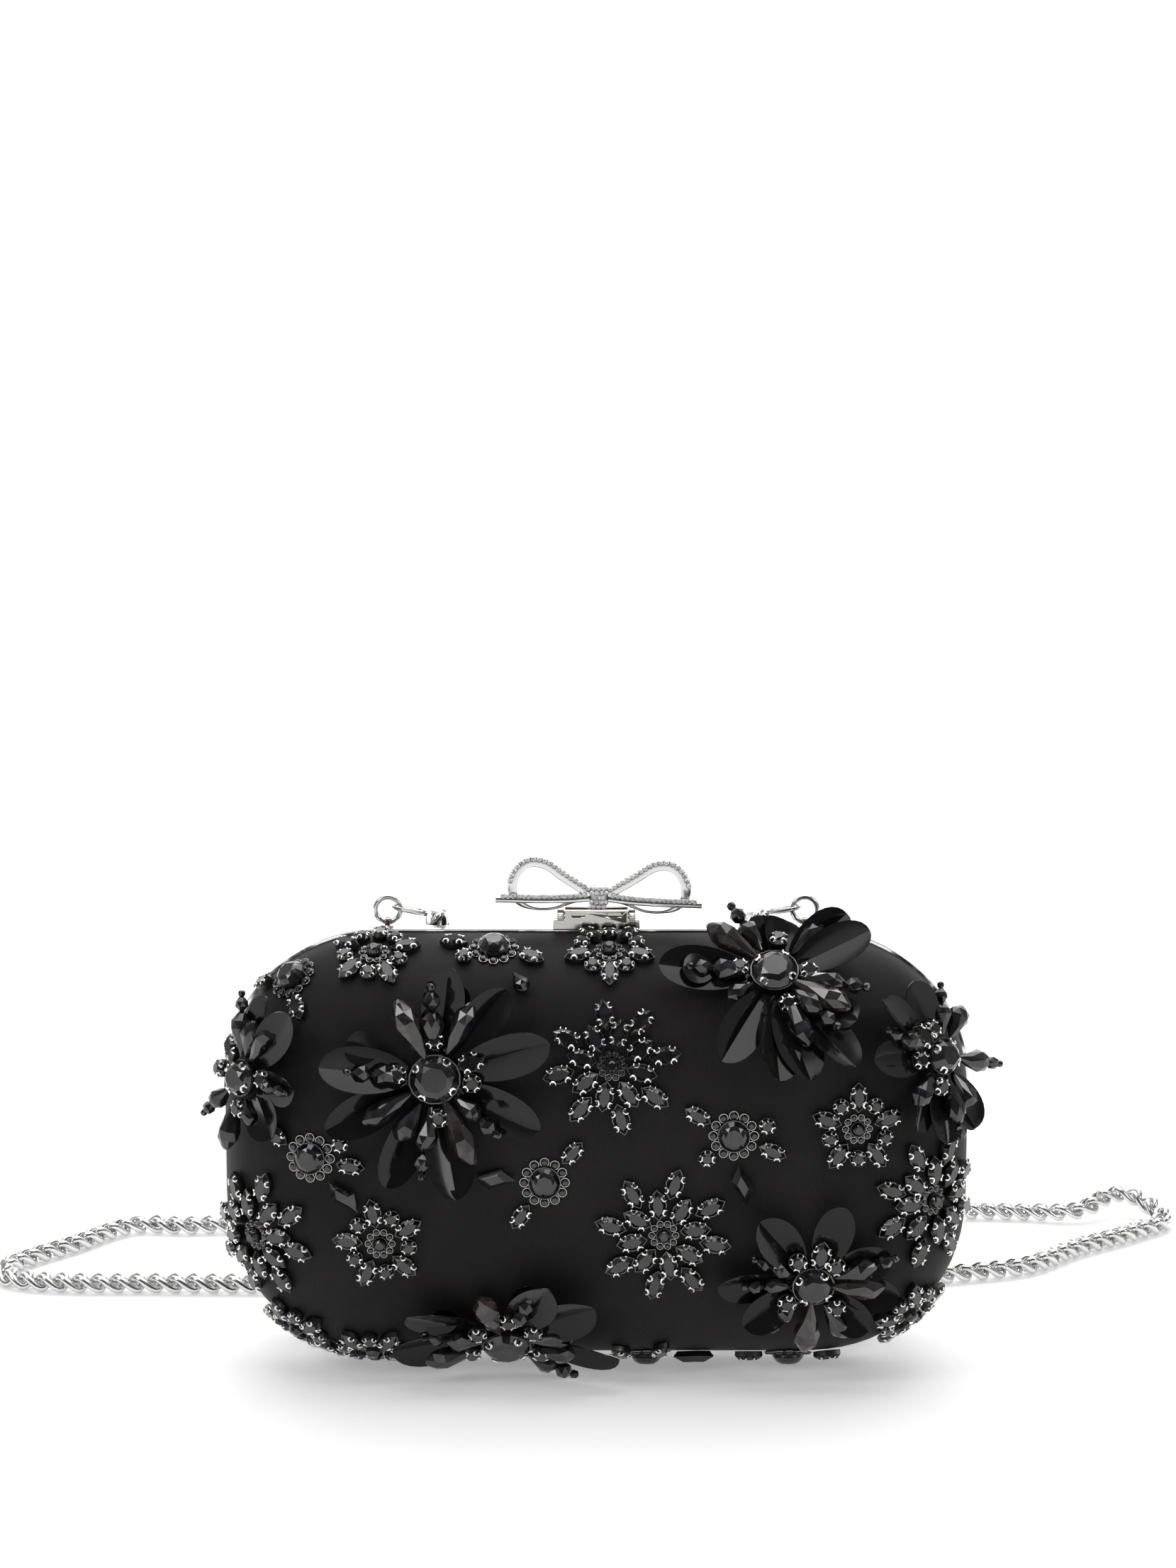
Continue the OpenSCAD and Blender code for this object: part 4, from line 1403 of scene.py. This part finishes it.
@dataclass
class Bow:
    """The bow on the clasp: ribbon loops and tails edged with crystals, and a crystal knot."""

    shop: Workshop
    tilt: float = 1.7
    band: float = 2.5 * MM
    depth: float = 2.6 * MM
    crystal: float = 1.25 * MM
    loop: tuple[Pair, ...] = (
        (2.0, 0.6), (8.5, 4.6), (13.4, 7.6), (17.6, 7.4), (20.4, 3.8), (20.3, -0.4), (17.2, -3.0),
        (11.6, -3.4), (6.4, -1.7), (2.0, -0.6))
    tail: tuple[Pair, ...] = ((2.2, -0.2), (7.0, -0.7), (14.0, -1.0), (24.6, -1.1))
    knot_rows: tuple[Triple, ...] = (
        (-2.9, 1.5, 1.4), (-2.4, 1.95, 1.9), (-0.6, 2.25, 2.15), (1.0, 2.25, 2.2), (2.4, 2.15, 1.9),
        (2.9, 1.7, 1.2))

    def place(self) -> Matrix:
        """Gives the bow's frame: X along it, Y up, Z to the front."""
        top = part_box("clasp_cap")[1][2]
        origin = Vector((0.6 * MM, -0.4 * MM, top + 2.9 * MM))
        return Matrix.Translation(origin) @ turned(self.tilt, "Y") @ turned(90, "X")

    def strand(self, line: list[Vector], half: list[float], front: float, back: float) -> Shape:
        """Sweeps the ribbon's rounded section along a line.

        Args:
            line: middle line in the bow's XY plane.
            half: half thickness at each point.
            front: Z of its front face.
            back: Z of its back face.

        Returns:
            The closed ribbon.
        """
        rings = []
        soft = 0.3 * MM
        for i, p in enumerate(line):
            t = (line[min(i + 1, len(line) - 1)] - line[max(i - 1, 0)]).normalized()
            side = Vector((-t.y, t.x, 0))
            h = half[i]
            s = min(soft, h * 0.8)
            upper = [(h, front - s), (h - s * 0.3, front - s * 0.3), (h - s, front)]
            corners = upper + [(-a, z) for a, z in reversed(upper)]
            corners += [(-h, back + s), (s - h, back), (h - s, back), (h, back + s)]
            rings.append([p + side * a + Vector((0, 0, z)) for a, z in corners])
        return stacked(rings)

    def mirrored(self, points: tuple[Pair, ...], side: int) -> list[Vector]:
        """Gives control points on one side of the knot."""
        return smooth_path([Vector((side * x, y, 0)) * MM for x, y in points], 0.6 * MM)

    def settings(self, line: list[Vector], until: float, out: float, front: float) -> list[Matrix]:
        """Gives places for crystals along a line's outer edge.

        Args:
            line: the middle line.
            until: share of its length that carries crystals.
            out: distance outwards from it.
            front: height towards the front.

        Returns:
            One place for each crystal.
        """
        found = []
        before = Vector((0, 1, 0))
        spots = evenly(line, self.crystal * 0.97)
        spots = spots[1:max(2, int(len(spots) * until))]
        for a, b in zip(spots, spots[1:]):
            t = (b - a).normalized()
            side = Vector((-t.y, t.x, 0))
            if side.dot(before) < 0:
                side.negate()
            before = side
            at = a + side * out + Vector((0, 0, front))
            found.append(Matrix.Translation(at) @ Matrix.Rotation(-0.3 * side.y, 4, "X"))
        return found

    def build(self) -> None:
        """Builds ribbon, crystals and knot."""
        f, place = self.shop.finishes, self.place()
        metal, spots = [], []
        front, back = self.depth / 2, -self.depth / 2
        for side in (-1, 1):
            loop = self.mirrored(self.loop, side)
            count = len(loop)
            ways = [i / count for i in range(count)]
            half = [self.band / 2 * min(1.0, max(0.3, 1 - (way - 0.52) * 4)) for way in ways]
            sink = [1.2 * MM * min(1.0, max(0.0, way - 0.5) * 6) for way in ways]
            loop = [p - Vector((0, 0, z)) for p, z in zip(loop, sink)]
            metal.append(self.strand(loop, half, front, back))
            tail = self.mirrored(self.tail, side)
            lower = [p - Vector((0, 0.35 * MM, 0)) for p in tail]
            metal.append(self.strand(lower, [0.62 * MM] * len(tail), front + 0.4 * MM, back))
            spots += self.settings(loop, 0.54, 0.68 * MM, front - 0.06 * MM)
            spots += self.settings(tail, 1.0, 0.62 * MM, front + 0.22 * MM)
        ribbon = Shape()
        for strand in metal:
            ribbon.add(strand, place)
        sleek = self.shop.dressed(ribbon, f.bow)
        piece = self.shop.piece("bow_ribbon_polished", [sleek], CLASP, "polished_metal", 40)
        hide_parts("bow_ribbon")
        gem = brilliant(self.crystal, 0.7 * MM, 1.0, 6)
        spots = [place @ m for m in spots]
        crystals = self.shop.scatter.run(gem, spots, f.crystal)
        beds = self.shop.scatter.run(torus(self.crystal * 0.5, 0.1 * MM, 10, 4), spots, f.bow)
        piece = self.shop.piece("bow_crystal_rows", [crystals, beds], CLASP, "clear_crystal")
        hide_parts("bow_crystals")
        self.knot(place, gem)

    def knot(self, place: Matrix, gem: Shape) -> None:
        """Builds the knot with its stem and crystals.

        Args:
            place: the bow's frame.
            gem: one crystal.
        """
        f = self.shop.finishes
        body = Shape()
        rings = []
        for y, wide, deep in self.knot_rows:
            ring = []
            for i in range(20):
                c, d = math.cos(TAU * i / 20), math.sin(TAU * i / 20)
                x, z = math.copysign(abs(c) ** 0.5, c), math.copysign(abs(d) ** 0.6, d)
                ring.append(Vector((wide * x, y, deep * z)) * MM)
            rings.append(ring)
        body.add(stacked(rings), place)
        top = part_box("clasp_cap")[1][2]
        foot = [Vector((x, y, 0)) * MM for x, y in ((-1.9, -2.2), (2.5, -2.2), (2.5, 1.6), (-1.9, 1.6))]
        body.add(stacked([[p + Vector((0, 0, z)) for p in foot] for z in (top - 0.05 * MM, top + 1.3 * MM)]))
        spots = []
        for row in range(5):
            y = -2.3 + row * 1.1
            for k in range(4 if row % 2 else 3):
                x = (k - (1.5 if row % 2 else 1.0)) * 1.1
                bulge = 2.1 - 0.1 * x * x - 0.05 * (y - 0.3) ** 2
                spots.append(place @ Matrix.Translation(Vector((x, y, bulge)) * MM) @ turned(x * 9, "Y"))
        crystals = self.shop.scatter.run(gem, spots, f.crystal)
        meshes = [self.shop.dressed(body, f.bow), crystals]
        piece = self.shop.piece("bow_knot_pave", meshes, CLASP, "polished_metal", 40)
        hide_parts("bow_knot")


def torsion_spring(shop: Workshop) -> None:
    """Winds the clasp's small torsion spring round its pin.

    Args:
        shop: where it is made.
    """
    low, high = (Vector(c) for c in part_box("clasp_spring"))
    middle, wire = (low + high) / 2, 0.16 * MM
    radius, turns, steps = (high.z - low.z) / 2 - wire, 9, 14
    length = high.x - low.x - 2 * wire
    line = []
    for i in range(turns * steps + 1):
        away = rounded(TAU * i / steps, Vector((0, radius, 0)), Vector((0, 0, radius)))
        line.append(middle + away + Vector((length * (i / (turns * steps) - 0.5), 0, 0)))
    rings = []
    for i, p in enumerate(line):
        t = (line[min(i + 1, len(line) - 1)] - line[max(i - 1, 0)]).normalized()
        out = (p - Vector((p.x, middle.y, middle.z))).normalized()
        across = t.cross(out)
        rings.append([p + rounded(TAU * k / 6, out, across) * wire for k in range(6)])
    coil = shop.dressed(stacked(rings), shop.finishes.steel)
    piece = shop.piece("torsion_spring", [coil], BACK, "steel_wire", 60)
    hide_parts("clasp_spring")


def hardware(shop: Workshop) -> None:
    """Finishes the clasp plates, hinge, lugs, rings and end links.

    Args:
        shop: where they are made.
    """
    f = shop.finishes
    for node in ("clasp_base", "ring_lug_left", "ring_lug_right", "hinge_knuckles_back"):
        shop.refined(node, BACK, "polished_metal", f.clasp, 0.14 * MM)
    for node in ("clasp_catch", "hinge_knuckles_front"):
        shop.refined(node, FRONT, "polished_metal", f.clasp, 0.14 * MM)
    shop.refined("clasp_cap", CLASP, "polished_metal", f.clasp, 0.18 * MM)
    for node in ("hinge_pin", "clasp_pin"):
        shop.refined(node, BACK, "steel_wire", f.steel, 0.12 * MM)
    for body, end in zip(RINGS, ("chain_end_left", "chain_end_right")):
        shop.refined(end, body, "chain_metal", f.chain, 0.42 * MM)
        low, high = (Vector(c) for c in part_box(body))
        wire = (high.y - low.y) / 2
        ring = torus((high.x - low.x) / 2 - wire, wire * 1.25, 40, 12)
        mesh = shop.dressed(ring, f.chain)
        mesh.transform(Matrix.Translation((low + high) / 2) @ turned(90, "X"))
        piece = shop.piece(body + "_wire", [mesh], body, "chain_metal", 180)
        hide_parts(body)


# ---------------------------------------------------------------- strap


@dataclass
class Strap:
    """The curb-link chain: from the left ring down the back, out round both sides and up again."""

    shop: Workshop
    pitch: float = 5.0 * MM
    wire: float = 0.92 * MM
    half_length: float = 3.7 * MM
    half_width: float = 1.9 * MM
    twist: float = 1.55 * MM
    diameter: float = 5.4 * MM
    drop_x: float = 39
    floor: float = 2.8
    drop: tuple[Pair, ...] = ((11.6, 104.9), (21.0, 102.9), (30.4, 89.6), (34.4, 66), (35, 30))
    lying: tuple[tuple[float, ...], ...] = (
        (-40, 37, 8), (-50, 44), (-112, 46), (-142, 47), (-156, 53), (-156, 64), (-144, 81), (-131, 99),
        (-116, 99),
        (-96, 102), (-68, 116), (-30, 122), (20, 122), (41, 112), (32, 96), (-14, 94), (-34, 82),
        (-24, 68), (14, 67),
        (52, 73), (80, 92), (100, 112), (122, 113), (138, 110, 4), (152, 116, 7), (162, 106), (152, 94),
        (132, 78),
        (112, 60), (52, 44), (40, 37, 8))

    def line(self) -> list[Vector]:
        """Gives the chain's middle line."""
        route = [Vector((-self.drop_x, y, z)) * MM for y, z in self.drop]
        route += [Vector((p[0], p[1], p[2] if len(p) > 2 else self.floor)) * MM for p in self.lying]
        route += [Vector((self.drop_x, y, z)) * MM for y, z in reversed(self.drop)]
        fine = smooth_path(route, 1.5 * MM, 40 * MM)
        return [Vector((p.x, p.y, max(p.z, self.floor * MM))) for p in fine]

    def link(self) -> Shape:
        """Builds one twisted link, along X and lying flat."""
        steps, sides = 20, 7
        points = []
        for i in range(steps):
            a = TAU * i / steps
            x, y = self.half_length * math.cos(a), self.half_width * math.sin(a)
            points.append(Vector((x, y, self.twist * math.sin(2 * a))))
        rings = []
        for i, p in enumerate(points):
            t = (points[(i + 1) % steps] - points[i - 1]).normalized()
            out = Vector((p.x * 0.4, p.y, 0)).normalized()
            out = (out - t * out.dot(t)).normalized()
            up = t.cross(out)
            rings.append([p + rounded(TAU * k / sides, out, up) * self.wire for k in range(sides)])
        return looped(rings)

    def build(self) -> None:
        line = self.line()
        spots = evenly(line, self.pitch)
        places = []
        for i, p in enumerate(spots):
            t = (spots[min(i + 1, len(spots) - 1)] - spots[max(i - 1, 0)]).normalized()
            standing = min(1.0, max(0.0, (p.z - 10 * MM) / (24 * MM)))
            up = Vector((0, standing, 1 - standing * 0.9))
            up = (up - t * up.dot(t)).normalized()
            places.append(Matrix.Translation(p) @ framed(t, up.cross(t), up))
        mesh = self.shop.scatter.run(self.link(), places, self.shop.finishes.chain)
        chain = self.shop.piece("strap_links", [mesh], BACK, "chain_metal", 180)
        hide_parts("strap_chain")


# ---------------------------------------------------------------- stage


@dataclass(frozen=True)
class Studio:
    """Camera, lights and pale sweep."""

    camera_at: Triple = (-0.002, -0.597, 0.207)
    pitch: float = 6.45
    lens: float = 58.0
    sensor: float = 36.0
    front_dim: float = 0.07
    back_bright: float = 0.6

    def camera(self) -> None:
        """Sets the camera."""
        data = bpy.data.cameras.new("view")
        data.lens, data.sensor_width, data.sensor_height = self.lens, self.sensor, self.sensor
        data.sensor_fit = "AUTO"
        data.clip_start, data.dof.use_dof = 0.01, False
        obj = bpy.data.objects.new("view", data)
        obj.location = self.camera_at
        obj.rotation_euler = (math.radians(90 - self.pitch), 0, 0)
        bpy.context.scene.collection.objects.link(obj)
        bpy.context.scene.camera = obj

    def light(self, name: str, at: Triple, aim: Triple, size: Pair, power: float) -> None:
        """Adds one rectangular soft light.

        Args:
            name: its name.
            at: where it hangs.
            aim: where it points.
            size: width and height.
            power: watts.
        """
        data = bpy.data.lights.new(name, "AREA")
        data.shape, data.size, data.size_y, data.energy = "RECTANGLE", size[0], size[1], power
        obj = bpy.data.objects.new(name, data)
        obj.location = at
        obj.rotation_euler = (Vector(aim) - Vector(at)).to_track_quat("-Z", "Y").to_euler()
        bpy.context.scene.collection.objects.link(obj)

    def sweep(self, finish: Finish) -> None:
        """Adds the floor that curves up into the backdrop."""
        half, back, bend, top = 3.0, 1.6, 0.8, 3.0
        angles = [math.pi / 2 * i / 16 for i in range(17)]
        profile = [(-2.5, 0.0)] + [(back + bend * math.sin(a), bend * (1 - math.cos(a))) for a in angles]
        profile += [(back + bend, top)]
        shape = Shape()
        for x in (-half, half):
            shape.points += [Vector((x, y, z)) for y, z in profile]
        n = len(profile)
        shape.faces = [(i, n + i, n + i + 1, i + 1) for i in range(n - 1)]
        mesh = shape.mesh("sweep")
        mesh.materials.append(finish)
        for polygon in mesh.polygons:
            polygon.use_smooth = True
        obj = bpy.data.objects.new("sweep", mesh)
        bpy.context.scene.collection.objects.link(obj)

    def build(self, finish: Finish) -> None:
        """Builds the studio."""
        world = bpy.data.worlds.new("white_room")
        world.use_nodes = True
        nodes, link = world.node_tree.nodes, world.node_tree.links.new
        kinds = ("TexCoord", "SeparateXYZ", "ValToRGB", "Math")
        way, split, ramp, shift = (nodes.new("ShaderNode" + kind) for kind in kinds)
        link(way.outputs["Generated"], split.inputs["Vector"])
        shift.operation = "MULTIPLY_ADD"
        shift.inputs[1].default_value = shift.inputs[2].default_value = 0.5
        link(split.outputs["Y"], shift.inputs[0])
        link(shift.outputs[0], ramp.inputs["Fac"])
        ramp.color_ramp.elements[0].color = (*[self.front_dim] * 3, 1)
        ramp.color_ramp.elements[1].color = (*[self.back_bright] * 3, 1)
        link(ramp.outputs["Color"], nodes["Background"].inputs["Color"])
        bpy.context.scene.world = world
        bpy.context.scene.view_settings.view_transform = "Standard"
        self.sweep(finish)
        self.light("overhead", (0, 0.05, 1.1), (0, 0, 0), (1.2, 0.8), 7)
        self.light("left_window", (-0.7, -0.65, 0.75), (0, 0, 0.05), (0.3, 0.4), 2.2)
        self.light("right_window", (0.8, -0.5, 0.65), (0, 0, 0.05), (0.25, 0.4), 1.6)
        self.light("backdrop", (0, 0.9, 1.7), (0, 2.4, 0.7), (2.5, 0.6), 60)


def main() -> None:
    """Builds the whole bag round its frame."""
    logging.basicConfig(level=logging.INFO, format="%(name)s: %(message)s")
    finishes = Finishes()
    studio = Studio()
    studio.camera()
    shop = Workshop(finishes)
    Strap(shop).build()
    pillow = Pillow.from_frame()
    for body, facing in ((FRONT, -1), (BACK, 1)):
        HalfShell(pillow, shop, body, facing).build()
    hardware(shop)
    torsion_spring(shop)
    Bow(shop).build()
    for motif in front_motifs(pillow, shop) + back_motifs(pillow, shop):
        motif.build()
    studio.build(finishes.paper)


if __name__ == "__main__":
    main()
